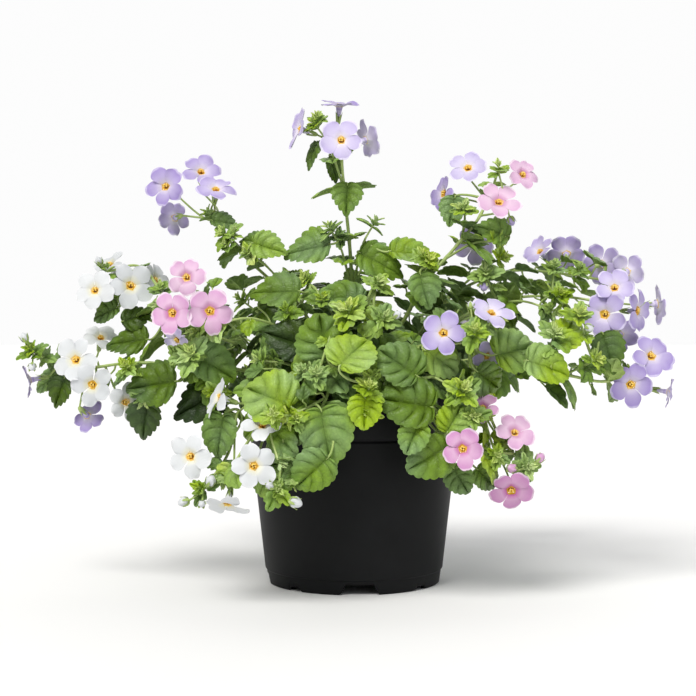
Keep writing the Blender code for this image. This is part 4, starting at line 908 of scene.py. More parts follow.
# Large leaves of each plant: centre of the blade, length, turn of the tip seen from the front, (azimuth,
# elevation) of the upper face, and age from 0, young, to 1, old
LEAVES = (
    ("plant_crown", (
        ((-26, -5, 185), 27, 186, (-10, 40), 0.55), ((15, -10, 177), 28, -28, (10, 35), 0.55),
        ((32, -8, 182), 26, 2, (10, 50), 0.4), ((-4, -8, 212), 19, -92, (0, 25), 0.6),
        ((-23, 0, 236), 17, -105, (-60, 20), 0.75), ((-11, 6, 229), 15, -70, (40, 10), 0.8),
        ((-57, 6, 187), 16, 150, (-20, 40), 0.65), ((-47, 2, 181), 21, -20, (0, 30), 0.35),
        ((-73, 12, 200), 16, -6, (10, 45), 0.7), ((-42, -40, 161), 28, 172, (-5, 40), 0.65),
        ((-8, -40, 158), 26, 170, (5, 45), 0.6), ((38, -26, 161), 21, -80, (10, 20), 0.55),
        ((55, 8, 206), 18, -100, (-10, 15), 0.5), ((76, -2, 193), 20, 160, (15, 25), 0.5),
    )),
    ("plant_right_front", (((-16, -68, 137), 29, 100, (-5, 30), 0.62),)),
    ("plant_left", (((-42, -58, 129), 34, 190, (-15, 10), 0.95),)),
    ("plant_low_left", (
        ((-44, -78, 107), 30, 150, (-15, 25), 0.28), ((-14, -88, 87), 29, -80, (10, 10), 0.46),
        ((-33, -86, 86), 22, -120, (-15, 5), 0.4), ((-21, -88, 70), 24, -135, (-5, -10), 0.52),
        ((-67, -70, 86), 22, -100, (-30, 10), 0.6), ((-42, -88, 62), 16, -60, (0, 0), 0.3),
    )),
    ("plant_right_front", (
        ((-1, -76, 125), 26, 60, (5, 40), 0.24), ((22, -76, 124), 25, 140, (5, 25), 0.64),
        ((26, -82, 104), 28, 170, (5, 20), 0.68), ((46, -62, 122), 27, -30, (15, 20), 0.28),
        ((66, -58, 107), 27, -60, (20, 5), 0.7), ((5, -84, 98), 17, -92, (0, 20), 0.28),
        ((37, -82, 76), 24, -150, (0, 10), 0.6), ((29, -84, 86), 17, -110, (-10, 15), 0.5),
        ((50, -74, 94), 18, 60, (10, 20), 0.35), ((54, -74, 64), 16, -60, (0, 0), 0.65),
        ((68, -66, 64), 16, -40, (20, 0), 0.55), ((83, -52, 128), 25, 20, (15, 25), 0.4),
        ((99, -55, 117), 24, -15, (10, 35), 0.3), ((112, -46, 139), 20, 60, (15, 30), 0.22),
        ((136, -36, 128), 23, -75, (10, 15), 0.75),
    )),
    ("plant_left", (
        ((-124, -18, 134), 25, 176, (-10, 40), 0.75), ((-106, -38, 108), 29, 184, (-10, 25), 0.75),
        ((-111, -34, 92), 22, -100, (-10, 0), 0.9), ((-82, -40, 102), 32, -150, (-10, 30), 1.0),
        ((-73, -46, 119), 23, -30, (10, 20), 0.55), ((-160, -22, 106), 18, -110, (-20, 10), 0.85),
        ((-171, -12, 113), 16, -150, (-30, 30), 0.45), ((-137, -8, 149), 16, 200, (-20, 30), 0.7),
        ((-118, -10, 145), 18, 20, (-10, 30), 0.9),
    )),
)
# Tilts, turns, sizes and shifts along its normal tried in order for a blade, until its tip is where the CAD
# plant has it. A large leaf, which has a long stalk, shifts before it tilts.
LEAF_TRIES = (
    (0, 0, 1.0, 0), (14, 0, 1.0, 0), (-14, 0, 1.0, 0), (0, 16, 1.0, 0), (0, -16, 1.0, 0), (24, 18, 0.92, 0),
    (-24, -18, 0.92, 0), (26, -24, 0.85, 0), (-26, 24, 0.85, 0), (40, 0, 0.85, 0), (-40, 0, 0.85, 0),
    (0, 36, 0.8, 0), (0, -36, 0.8, 0), (20, 50, 0.75, 0), (-20, -50, 0.75, 0), (0, 0, 0.62, 0),
)
LARGE_TRIES = (
    (0, 0, 1.0, 0), (0, 0, 1.0, 4), (0, 0, 1.0, -4), (0, 0, 1.0, 8), (0, 0, 1.0, -8), (12, 0, 1.0, 4),
    (-12, 0, 1.0, -4), (0, 12, 1.0, 4), (0, -12, 1.0, -4), (20, 0, 0.95, 8), (-20, 0, 0.95, -8),
    (16, 20, 0.9, 6), (-16, -20, 0.9, -6), (0, 0, 0.8, 4), (0, 0, 0.8, -4), (20, 30, 0.75, 8),
    (-20, -30, 0.75, -8), (0, 0, 0.66, 0), (0, 0, 0.66, 8), (0, 0, 0.66, -8),
)


def even_along(corners, count):
    """Count + 1 places evenly spaced along a smooth curve through corners in a plane."""
    fine = curve_through([(u, v, 0) for u, v in corners], 0.01)
    reach = [0.0]
    for a, b in zip(fine, fine[1:]):
        reach.append(reach[-1] + (b - a).length)
    places, i = [], 0
    for k in range(count + 1):
        wanted = reach[-1] * k / count
        while i < len(fine) - 2 and reach[i + 1] < wanted:
            i += 1
        share = (wanted - reach[i]) / (reach[i + 1] - reach[i])
        places.append(fine[i].lerp(fine[i + 1], min(share, 1.0)).to_2d())
    return places


def blade_plan(outline, veins, rows_per_vein, columns, teeth, depth, peak, quilt=1.0):
    """One half of a blade in plan: rows that follow the veins from the midrib out to the toothed edge.

    The teeth have a depth, as a share of the length, and a peak, which is 0.5 for even teeth.
    """
    count = veins * rows_per_vein
    rows = []
    for i, edge in enumerate(even_along(outline, count)):
        share = i / count
        root = Vector((0.93 * share**2.2, 0.0))
        phase = (i % rows_per_vein) / rows_per_vein
        notch = share * teeth % 1
        tooth = (notch / peak) ** 0.65 if notch < peak else ((1 - notch) / (1 - peak)) ** 0.65
        if 0 < i < count:
            edge = edge + (edge - root).normalized() * depth * min(1.0, 0.3 + 2 * share) * (tooth - 0.6)
        row = []
        for k in range(columns + 1):
            s = (k / columns) ** 0.85
            spot = root.lerp(edge, s) + Vector((-0.4 * share, 0.1)) * s * (1 - s) * (1 if i < count else 0)
            row.append((spot.x, spot.y if i < count else 0.0, s, math.sin(math.pi * phase) ** 0.6))
        rows.append(row)
    return {"rows": rows, "per": rows_per_vein, "columns": columns, "last": count, "quilt": quilt}


def blade_point(leaf, u, v, lift):
    """The place on a leaf at u of its length and v across, folded up from the midrib and arched down."""
    length = leaf["length"]
    rise = leaf["fold"] * abs(v) - leaf["arch"] * u * u
    flat = leaf["base"] + leaf["along"] * (u * length) + leaf["side"] * (v * length)
    return flat + leaf["normal"] * (rise * length + lift)


def make_leaf(base, along, normal, length, width, seed, stalked=False):
    """A leaf's frame: its blade's base, midrib, upper face and size."""
    draw = random.Random(seed)
    normal = normal.normalized()
    along = across(along, normal)
    return {
        "base": base, "along": along, "normal": normal, "side": normal.cross(along), "length": length,
        "width": width * draw.uniform(0.92, 1.06), "fold": draw.uniform(0.10, 0.30),
        "arch": draw.uniform(0.06, 0.24), "stalked": stalked, "seed": seed,
    }


def leaf_variants(leaf):
    """The leaf itself, then the same leaf tilted, turned, shrunk and shifted."""
    for tilt, turn, size, shift in LARGE_TRIES if leaf["stalked"] else LEAF_TRIES:
        spun = Matrix.Rotation(math.radians(turn), 3, leaf["normal"])
        tipped = Matrix.Rotation(math.radians(tilt), 3, leaf["side"])
        along, normal = tipped @ (spun @ leaf["along"]), tipped @ leaf["normal"]
        base, length = leaf["base"] + leaf["normal"] * shift, leaf["length"] * size
        yield dict(leaf, base=base, along=along, normal=normal, side=normal.cross(along), length=length)


def fit_leaf(plant, leaf):
    """The variant of a leaf whose tip is a corner of the CAD plant, or None."""
    for changed in leaf_variants(leaf):
        if has_corner(plant, blade_point(changed, 1, 0, 0)):
            return changed
    return None


def leaves_along(shoot):
    """Opposite pairs of leaves up a shoot, each pair square to the last, smaller towards the tip."""
    draw = random.Random(shoot.name)
    at = shoot.bare + draw.uniform(0, 4)
    count = 0
    while at < shoot.length - 2:
        share = at / shoot.length
        last = at > shoot.length - TIP_ZONE
        if last and not shoot.twig:
            return
        if last:
            at = shoot.length - JOINT - 0.5
        place, along, _, _ = shoot.frame(at)
        out = (place - CORE).normalized()
        size = TIP_LEAF if last else (TWIG_LEAF if shoot.twig else STEM_LEAF) * (1.1 - 0.4 * share)
        for k in range(2):
            way = shoot.ways(at)[(count % 2) + 2 * k]
            normal = (out * 0.75 + Vector((0, 0, 0.6)) - way * 0.15 + along * 0.25).normalized()
            if last:
                normal = (along - way * 0.7 + out * 0.3).normalized()
            normal.x += draw.uniform(-0.22, 0.22)
            normal.y += draw.uniform(-0.22, 0.22)
            reach = way * 0.9 + along * 0.45 + out * 0.45 - Vector((0, 0, 0.15))
            yield at, way, reach, normal, size * draw.uniform(0.85, 1.15), f"{shoot.name} {count} {k}", last
        at += (TWIG_SPACING if shoot.twig else STEM_SPACING) * (1.2 - 0.5 * share)
        count += 1


def place_leaves():
    """The large leaves as listed, then the pairs along each shoot, as the CAD solids have them."""
    placed = []
    for index, (plant, centre, length, turn, look, age) in enumerate(flattened(LEAVES)):
        normal, angle = toward(*look), math.radians(turn)
        along = across(Vector((math.cos(angle), 0, math.sin(angle))), normal)
        base = Vector(centre) - along * length * 0.48
        root = free_face(plant, base - along * 3)
        leaf = fit_leaf(plant, make_leaf(base, along, normal, length, 1.0, f"leaf {index}", True))
        if leaf:
            placed.append((root, leaf, age))
    for shoot in shoots.values():
        for at, way, reach, normal, length, seed, last in leaves_along(shoot):
            claimed = shoot.claim(at, way, 1.5)
            if not claimed:
                continue
            base = shoot.seat(*claimed)[0]
            leaf = fit_leaf(shoot.plant, make_leaf(base, reach, normal, length, 0.98, seed))
            if leaf:
                age = 0.08 if last else 0.75 - 0.55 * at / shoot.length
                placed.append(((shoot, *claimed), leaf, age + random.Random(seed).uniform(-0.12, 0.15)))
            else:
                release(claimed)
    return placed


def grow_blade(growth, leaf, plan, age):
    """Adds a quilted toothed blade to a plant's foliage, its upper and its lower face in their own skins."""
    draw = random.Random(f"blade {leaf['seed']}")
    length, last, columns = leaf["length"], plan["last"], plan["columns"]
    ripple, turn = draw.uniform(0.01, 0.035), draw.random()
    cup, lop = draw.uniform(-0.25, 0.05), draw.uniform(0.93, 1.07)
    puff, quilt = draw.uniform(0.005, 0.035), draw.uniform(0.6, 1.35) * plan["quilt"]
    points, spots, index = [], [], {}

    def key(side, i, j, under):
        """A point's key: both halves share the midrib and the tip, and both faces share the rim."""
        return 0 if j == 0 or i == last else side, i, j, under and not (j == columns or i == 0)

    for side in (1, -1):
        for i, row in enumerate(plan["rows"]):
            for j, (u, v, s, bulge) in enumerate(row):
                w = side * v * leaf["width"] * (lop if side > 0 else 2 - lop)
                # The bulge between veins, then the midrib, the puffed half, dents, a wavy edge and the cup
                rise = quilt * BULGE * bulge * min(1.0, 2.6 * s) * (1 - 0.75 * s**3)
                rise -= MIDRIB_SINK * math.exp(-((s / 0.1) ** 2))
                rise += puff * math.sin(math.pi * s**0.8)
                rise += 0.022 * min(1.0, 3 * s) * noise.noise(Vector((u * 9, w * 9, 40 * turn)))
                rise += ripple * s**3 * math.sin(2 * math.pi * (1.6 * i / last + turn * (1 + side * 0.3)))
                rise += cup * w * w
                half = 0 if j == columns or i == 0 else BLADE_THICK / 2
                for under in (0, 1):
                    if key(side, i, j, under) not in index:
                        index[key(side, i, j, under)] = len(points)
                        points.append(blade_point(leaf, u, w, rise * length + (-half if under else half)))
                        spots.append((i / plan["per"], s))
    upper, lower = [], []
    for side in (1, -1):
        for i in range(last):
            for j in range(columns):
                for under, faces in ((0, upper), (1, lower)):
                    corners = ((i, j), (i + 1, j), (i + 1, j + 1), (i, j + 1))
                    quad = [index[key(side, a, b, under)] for a, b in corners]
                    quad = [n for k, n in enumerate(quad) if n != quad[k - 1]]
                    if len(quad) > 2:
                        faces.append(tuple(quad if (side > 0) != bool(under) else quad[::-1]))
    growth.grow((points, upper + lower), age, [0] * len(upper) + [1] * len(lower), spots)


def leaf_surface(name, stops, vein, tone, settings):
    """A leaf's skin: colour mottled by age, toned veins, a fine net of raised cells, and painted highlight
    and shade.
    """
    material, shader = surface(name, settings)
    age = add(material, "Attribute", {"attribute_name": "age"})["Fac"]
    place = add(material, "TexCoord", {})["Object"]
    spot = add(material, "UVMap", {"uv_map": "blade"})["UV"]
    parts = add(material, "SeparateXYZ", {"Vector": spot})
    mottle = add(material, "TexNoise", {"Scale": 1 / (6 * MM), "Detail": 4.0, "Vector": place})["Fac"]
    ripe = add(material, "Math", {"operation": "MULTIPLY_ADD", 0: mottle, 1: 0.3, 2: age})["Value"]
    ripe = add(material, "Math", {"operation": "SUBTRACT", 0: ripe, 1: 0.15})["Value"]
    colour = add(material, "ValToRGB", {"stops": stops, "Fac": ripe})["Color"]

    # Veins: one at each whole number of the first coordinate, and the midrib at 0 of the second
    near = add(material, "Math", {"operation": "PINGPONG", 0: parts["X"], 1: 0.5})["Value"]
    wide = add(material, "Math", {"operation": "MULTIPLY_ADD", 0: parts["Y"], 1: 0.8, 2: 0.2})["Value"]
    apart = add(material, "Math", {"operation": "MULTIPLY", 0: near, 1: wide})["Value"]
    soft = {"interpolation_type": "SMOOTHSTEP"}
    lateral = add(material, "MapRange", {**soft, "ends": (0.012, 0.055, 1, 0), "Value": apart})["Result"]
    midrib = add(material, "MapRange", {**soft, "ends": (0.02, 0.07, 1, 0), "Value": parts["Y"]})["Result"]
    fading = add(material, "MapRange", {"ends": (0.1, 1, 1, 0.25), "Value": parts["Y"]})["Result"]
    faded = add(material, "Math", {"operation": "MULTIPLY", 0: lateral, 1: fading})["Value"]
    veins = add(material, "Math", {"operation": "MAXIMUM", 0: faded, 1: midrib})["Value"]
    share = add(material, "Math", {"operation": "MULTIPLY", 0: veins, 1: vein})["Value"]
    # The veins' tone: on the upper skin darker, as painted shade in their sunken grooves; on the lower skin
    # paler, their own colour
    vein_tint_and_groove_shade = add(material, "HueSaturation", {"Value": tone, "Saturation": 0.95, "Color": colour})["Color"]
    mixed = add(material, "Mix", {"data_type": "RGBA", "Factor": share, 6: colour, 7: vein_tint_and_groove_shade})[2]

    # Cells: a net over the skin, raised between its lines and painted paler there as a highlight, and the
    # skin painted darker near the veins as shade in the creases
    net = {"feature": "DISTANCE_TO_EDGE", "Scale": 1 / (2.3 * MM), "Vector": place}
    net = add(material, "TexVoronoi", net)["Distance"]
    puffed = add(material, "MapRange", {**soft, "ends": (0, 0.2, 0, 1), "Value": net})["Result"]
    crease_shade = add(material, "MapRange", {"ends": (0, 0.4, 0.76, 1.04), "Value": apart})["Result"]
    # A value for the colour: the paler cell middles are a painted highlight, the darkening near the veins
    # painted shade
    shade = add(material, "Math", {"operation": "MULTIPLY_ADD", 0: puffed, 1: 0.09, 2: crease_shade})["Value"]
    drift = add(material, "TexNoise", {"Scale": 1 / (24 * MM), "Detail": 1.0, "Vector": place})["Fac"]
    cells = {"feature": "SMOOTH_F1", "Scale": 1 / (0.9 * MM), "Vector": place}
    cells = add(material, "TexVoronoi", cells)["Distance"]
    grain = add(material, "Math", {"operation": "MULTIPLY_ADD", 0: cells, 1: -0.4, 2: puffed})["Value"]
    raised = add(material, "Math", {"operation": "SUBTRACT", 0: grain, 1: veins})["Value"]
    netted = add(material, "HueSaturation", {
        "Color": mixed, "Value": shade,
        "Hue": add(material, "MapRange", {"ends": (0.38, 0.66, 0.487, 0.510), "Value": drift})["Result"],
        "Saturation": add(material, "MapRange", {"ends": (0.38, 0.66, 1.20, 0.87), "Value": drift})["Result"],
    })["Color"]
    relief = {"Strength": 0.55, "Distance": 0.19 * MM, "Height": raised}
    feed(shader, {"Base Color": netted, "Normal": add(material, "Bump", relief)["Normal"]})
    return material


# Upper skin: waxy, so it has a soft broad shine on its bulges, and its veins are darker, painted shade in
# their
# sunken grooves. Lower skin: matt and greyer, with paler veins.
waxy = {"Roughness": 0.42, "IOR": 1.43, "Specular IOR Level": 0.36}
matt = {"Roughness": 0.7, "IOR": 1.4, "Specular IOR Level": 0.3}
upper_greens = ((0.0, "#C9DB8A"), (0.22, "#9EBC56"), (0.5, "#7A9A4F"), (0.75, "#567034"), (1.0, "#2C4018"))
lower_greens = ((0.0, "#B4CB84"), (0.3, "#98B26C"), (0.6, "#7A9459"), (1.0, "#596F42"))
leaf_skins = [
    leaf_surface("waxy upper leaf skin", upper_greens, 0.38, 0.68, waxy),
    leaf_surface("matt lower leaf skin", lower_greens, 0.4, 1.7, matt),
]

broad_plan = blade_plan(BROAD, veins=5, rows_per_vein=9, columns=8, teeth=9, depth=0.042, peak=0.5)
ovate_plan = blade_plan(OVATE, veins=4, rows_per_vein=5, columns=4, teeth=5, depth=0.06, peak=0.6)
tip_plan = blade_plan(NARROW, veins=3, rows_per_vein=3, columns=2, teeth=3, depth=0.10, peak=0.6)
sharp_plan = blade_plan(
    SHARP, veins=5, rows_per_vein=8, columns=7, teeth=8, depth=0.06, peak=0.68, quilt=0.55,
)
foliage = {plant: Growth() for plant in PLANTS}


def outline_of(leaf):
    """A blade as a coarse double strip, as points and faces, to test what touches it."""
    points, faces = [], []
    for u, half in ((-0.02, 0.06), (0.12, 0.34), (0.35, 0.48), (0.6, 0.43), (0.82, 0.29), (1.0, 0.03)):
        points += [blade_point(leaf, u, share * half * leaf["width"], 0) for share in (-1, 0, 1)]
    for i in range(0, 15, 3):
        faces += [(i + k, i + k + 1, i + k + 4, i + k + 3) for k in (0, 1)]
    return points, faces


def disc_of(bloom):
    """A bloom's face as a fan of ten triangles, as points and faces."""
    flats = [bloom["right"] * c + bloom["up"] * s for c, s in around(10)]
    points = [bloom["centre"]] + [bloom["centre"] + flat * bloom["radius"] for flat in flats]
    return points, [(0, 1 + k, 1 + (k + 1) % 10) for k in range(10)]


# Where the photograph was taken from, and the degrees by which a leaf of a pair turns aside, tried in order,
# where it would hide a bloom from there: five of its points are too many in front of blooms less than 60 mm
# behind it
CAMERA = Vector((-3.3, -845.0, 150.0))
ASIDE = (0, 50, -50, 90, -90, 130, -130, 180)
HIDES_MUCH, BLOOM_DEPTH = 5, 60
discs = [disc_of(bloom) for bloom in seated]
facing = [disc_of(bloom) for bloom in seated if bloom["axis"].y < 0.3]
bloom_faces = BVHTree.FromPolygons(*merged(discs))
faces_seen = BVHTree.FromPolygons(*merged(facing))


def turned_aside(root, leaf):
    """A leaf of a pair, turned round its stem until it hides little of any bloom behind it."""
    parent, joint, _ = root
    direction = parent.frame(joint["at"])[1]
    for turn in ASIDE if not leaf["stalked"] else ():
        spun = Matrix.Rotation(math.radians(turn), 3, direction)
        changed = dict(leaf, **{key: spun @ leaf[key] for key in ("along", "normal", "side")})
        hidden = 0
        for point in outline_of(changed)[0]:
            if faces_seen.ray_cast(point, (point - CAMERA).normalized(), BLOOM_DEPTH)[0]:
                hidden += 1
        if hidden < HIDES_MUCH:
            return changed
    return leaf


placed = [(root, turned_aside(root, leaf), age) for root, leaf, age in place_leaves()]
for (parent, joint, k), leaf, age in placed:
    large_plan = sharp_plan if leaf["base"].z > HIGH or age > RIPE else broad_plan
    pair_plan = ovate_plan if leaf["length"] > SMALLEST_OVATE else tip_plan
    grow_blade(foliage[parent.plant], leaf, large_plan if leaf["stalked"] else pair_plan, age)
    if leaf["stalked"]:
        foot, way = parent.seat(joint, k)
        base, along = leaf["base"], leaf["along"]
        reach = (base - foot).length
        back = base - along * reach * 0.2 - leaf["normal"] * reach * 0.22
        route = bent(foot - way * 0.6, foot + way * reach * 0.3, back, base, LEAF_STALK_BITS)
        radii = [0.85 - 0.035 * n for n in range(LEAF_STALK_BITS + 1)]
        stems[parent.plant].grow(tube(route + [base + along * 1.2], radii + [0.2], 8), age * 0.5)

# Small leaves: the axils of the shoots carry more small stalked leaves than the pairs in the solids. They
# stand wherever there is room behind the large leaves and the blooms, and fill the plant's heart.
FILL_STEP, FILL_TRIES, FILL_DEPTH = 11.0, 9, 300
RIM_ZONE = (RIM_R - 8, RIM_R + 4)
BOX = [Vector(corner) / MM for corner in cad_box]
small_plan = blade_plan(OVATE, veins=4, rows_per_vein=4, columns=4, teeth=4, depth=0.07, peak=0.6)
leaf_outlines = [outline_of(leaf) for _, leaf, _ in placed]
large = [outline_of(leaf) for _, leaf, _ in placed if leaf["stalked"]]
crowd = [BVHTree.FromPolygons(*merged(leaf_outlines + discs))]
front = BVHTree.FromPolygons(*merged(large + facing))


def blocked(start, end):
    """Whether something stands between two places."""
    way = end - start
    return any(tree.ray_cast(start, way.normalized(), way.length)[0] for tree in crowd)


def has_room(leaf):
    """Whether a leaf is inside the plant's box, clear of the pot and of all leaves, and hides no bloom."""
    points, faces = outline_of(leaf)
    for point in points:
        if any(point[i] < BOX[0][i] + 1 or point[i] > BOX[1][i] - 1 for i in range(3)):
            return False
        over_rim = RIM_ZONE[0] < point.to_2d().length < RIM_ZONE[1]
        if point.z < SOIL_TOP + 3 or (point.z < POT_HEIGHT + 3 and over_rim):
            return False
        if front.ray_cast(point, (point - CAMERA).normalized(), FILL_DEPTH)[0]:
            return False
    tree = BVHTree.FromPolygons(points, faces)
    return not any(tree.overlap(other) for other in crowd)


def grow_stalk(growth, root, way, leaf, girth, age):
    """A leaf's stalk, from its stem in a curve to its blade's base."""
    base = leaf["base"]
    reach = (base - root).length
    route = curve_through((root, root + way * reach * 0.5, base, base + leaf["along"] * 1.2), 1.5)
    radii = [girth * (1 - 0.3 * n / (len(route) - 1)) for n in range(len(route) - 1)] + [0.15]
    growth.grow(tube(route, radii, 6), age)


for shoot in shoots.values():
    draw = random.Random("small leaves " + shoot.name)
    at = draw.uniform(2, FILL_STEP)
    while at < shoot.length * 0.95:
        place, along, side, girth = shoot.frame(at)
        # The high shoots stay slender in front, and at the back the leaves are larger and closer
        slender = place.z > HIGH and place.y < 30 and (abs(place.x) < 45 or place.z > 178)
        for attempt in range(0 if slender or place.z < SOIL_TOP + 4 else FILL_TRIES):
            angle = draw.uniform(0, 2 * math.pi)
            out = side * math.cos(angle) + along.cross(side) * math.sin(angle)
            out = (out + Vector((0, 0, 0.2)) + (place - CORE).normalized() * 0.25).normalized()
            stalk, length = draw.uniform(2.0, 12.0), draw.uniform(9.0, 17.0) * (0.85 if shoot.twig else 1.0)
            length *= 1.35 if place.y > 25 else 1.0
            base = place + out * (girth + stalk) + along * stalk * 0.4
            normal = (base - CORE).normalized() * 0.7 + Vector((0, 0, 0.6))
            normal += Vector([draw.uniform(-0.45, 0.45) for _ in range(3)])
            reach = out + along * draw.uniform(0.1, 0.8)
            leaf = make_leaf(base, reach, normal, length, 1.0, f"{shoot.name} small {at:.1f} {attempt}")
            if has_room(leaf) and not blocked(place + out * (girth + 0.6), base):
                crowd.append(BVHTree.FromPolygons(*outline_of(leaf)))
                age = min(0.92, max(0.25, 0.85 - 0.5 * at / shoot.length + draw.uniform(-0.15, 0.2)))
                grow_blade(foliage[shoot.plant], leaf, small_plan, age)
                grow_stalk(stems[shoot.plant], place, out, leaf, 0.6, age * 0.5)
                break
        at += FILL_STEP * draw.uniform(0.75, 1.3) * (0.7 if place.y > 45 else 1.0)

# Side sprigs: short new growth on the outside of the plant, each a lime green rosette of small toothed leaves
# on its own short stalk. The longer stalks carry one more pair of leaves.
SPRIG_PAIRS, SPRIG_BIT, SPRIG_PLACES, SPRIG_TRIES = 6, 3, 24, 60
# Sprigs of each plant: place, (azimuth, elevation) it grows, leaf length and age
SPRIGS = (
    ("plant_crown", (
        ((-20, -4, 255), (-20, 60), 9, 0.15), ((-67, 2, 192), (20, 60), 7, 0.15),
        ((-70, 0, 186), (-40, 30), 5.5, 0.2), ((-8, -4, 190), (-30, 50), 8, 0.45),
        ((-3, -64, 149), (-10, 45), 14, 0.12), ((14, -60, 145), (20, 30), 11, 0.2),
        ((79, -10, 227), (10, 60), 9, 0.1), ((38, -20, 178), (10, 40), 10, 0.2),
    )),
    ("plant_right", (
        ((72, -10, 170), (0, 45), 10, 0.15), ((113, 16, 174), (0, 60), 8, 0.15),
        ((129, 26, 173), (20, 60), 8, 0.2), ((113, -8, 158), (10, 40), 9, 0.2),
    )),
    ("plant_right_front", (((118, -46, 147), (10, 45), 10, 0.12),)),
    ("plant_left", (
        ((-173, -26, 128), (-30, 40), 10, 0.3), ((-120, -44, 120), (-5, 30), 9, 0.2),
        ((-84, -60, 127), (-5, 30), 11, 0.12),
    )),
    ("plant_low_left", (((-40, -96, 98), (0, 20), 8, 0.12), ((-29, -94, 96), (10, 30), 8, 0.15))),
    ("plant_right_front", (((-19, -84, 117), (0, 40), 9, 0.2), ((-26, -80, 119), (-30, 40), 8, 0.25))),
    ("plant_low_left", (((-76, -82, 60), (-30, 10), 10, 0.35), ((-38, -90, 61), (0, 10), 10, 0.2))),
    ("plant_right_front", (
        ((7, -88, 111), (10, 40), 10, 0.12), ((55, -78, 109), (0, 30), 12, 0.12),
        ((60, -76, 96), (10, 20), 9, 0.2), ((60, -82, 139), (0, 40), 11, 0.15),
        ((88, -66, 69), (15, 15), 11, 0.12), ((104, -54, 137), (15, 40), 11, 0.15),
    )),
    ("plant_crown", (((-35, -50, 149), (-10, 35), 10, 0.45), ((-17, -46, 155), (0, 45), 9, 0.3))),
    ("plant_left", (((-138, 6, 172), (-10, 60), 8, 0.25), ((-103, -32, 161), (-20, 50), 8, 0.3))),
    ("plant_back", (
        ((-38, 76, 168), (-170, 45), 11, 0.2), ((-70, 84, 140), (-150, 35), 11, 0.25),
        ((10, 92, 146), (175, 40), 11, 0.2), ((52, 88, 148), (150, 40), 11, 0.25),
        ((-6, 112, 118), (180, 20), 10, 0.3),
    )),
    ("plant_crown", (((6, 46, 178), (170, 50), 11, 0.3),)),
    ("plant_right", (((92, 62, 140), (140, 30), 10, 0.3),)),
    ("plant_right_front", (((73, -68, 75), (5, 15), 9, 0.2),)),
)
sprig_plan = blade_plan(OVATE, veins=3, rows_per_vein=4, columns=3, teeth=4, depth=0.12, peak=0.62)


def rosette(growth, tip, axis, length, pairs, age, seed):
    """Pairs of unfolding leaves on a tip, each pair square to the last, smaller and steeper."""
    draw = random.Random(seed)
    side = axis.orthogonal().normalized()
    other = axis.cross(side)
    start = draw.uniform(0, math.pi)
    for pair in range(pairs):
        for k in range(2):
            angle = start + math.pi / 2 * pair + math.pi * k + draw.uniform(-0.4, 0.4)
            outward = side * math.cos(angle) + other * math.sin(angle)
            lean = math.radians(14 + 13 * pair + draw.uniform(-16, 16))
            reach = outward * math.cos(lean) + axis * math.sin(lean)
            normal = axis * math.cos(lean) - outward * math.sin(lean)
            size = length * (1 - 0.14 * pair) * draw.uniform(0.75, 1.2)
            base = tip + axis * (1.1 * pair - 2.0) + outward * 0.5
            leaf = make_leaf(base, reach, normal, size, 0.92, f"{seed} {pair} {k}")
            young = age + 0.22 - 0.09 * pair + draw.uniform(-0.08, 0.08)
            if not BVHTree.FromPolygons(*outline_of(leaf)).overlap(bloom_faces):
                grow_blade(growth, leaf, sprig_plan if pair < 2 else tip_plan, young)


def sprig_route(plant, tip, axis):
    """The shortest free way from a shoot of the plant to the tip of a sprig."""
    spots = []
    for shoot in shoots.values():
        for i in range(2, SPRIG_PLACES) if shoot.plant == plant else ():
            spot = shoot.frame(shoot.length * i / SPRIG_PLACES)[0]
            if spot.z > SOIL_TOP + 4:
                spots.append(((spot - tip).length, len(spots), spot))
    spots.sort()
    for _, _, spot in spots[:SPRIG_TRIES]:
        reach = (tip - spot).length
        for rise in (0.0, 0.2, -0.2, 0.4):
            middle = spot.lerp(tip, 0.5) - axis * reach * 0.18 + Vector((0, 0, rise * reach))
            route = curve_through((spot, middle, tip), SPRIG_BIT)
            if not any(blocked(a, b) for a, b in zip(route[1:], route[2:])):
                return route
    return curve_through((spots[0][2], tip), SPRIG_BIT)


sprigs = flattened(SPRIGS)
for number, (plant, place, look, length, age) in enumerate(sprigs):
    tip, axis = Vector(place), toward(*look)
    route = sprig_route(plant, tip, axis)
    last = len(route) - 1
    stems[plant].grow(tube(route, [0.95 - 0.35 * n / last for n in range(last + 1)], 8), 0.25)
    rosette(foliage[plant], tip, axis, length, SPRIG_PAIRS, age, f"sprig {number}")
    if last > 4:
        n = round(0.6 * last)
        along = (route[n + 1] - route[n - 1]).normalized()
        normal = along * 0.4 + Vector((0, -0.5, 0.8))
        for k in (1, -1):
            out = across(Vector((0.3, -0.4, 1.0)), along) * 0.4 + along.cross(UP).normalized() * k
            base, reach = route[n] + out * 0.6, out + along * 0.5
            leaf = make_leaf(base, reach, normal, length * 0.9, 1.0, f"{number} pair {k}")
            grow_blade(foliage[plant], leaf, sprig_plan, age + 0.15)

# Buds: closed flowers on short stalks beside the sprigs. Each is a ball of five petals folded round each
# other in a twist, and sits in a calyx of five short sepals.
BUD_SIDES, BUD_ROWS = 15, 9
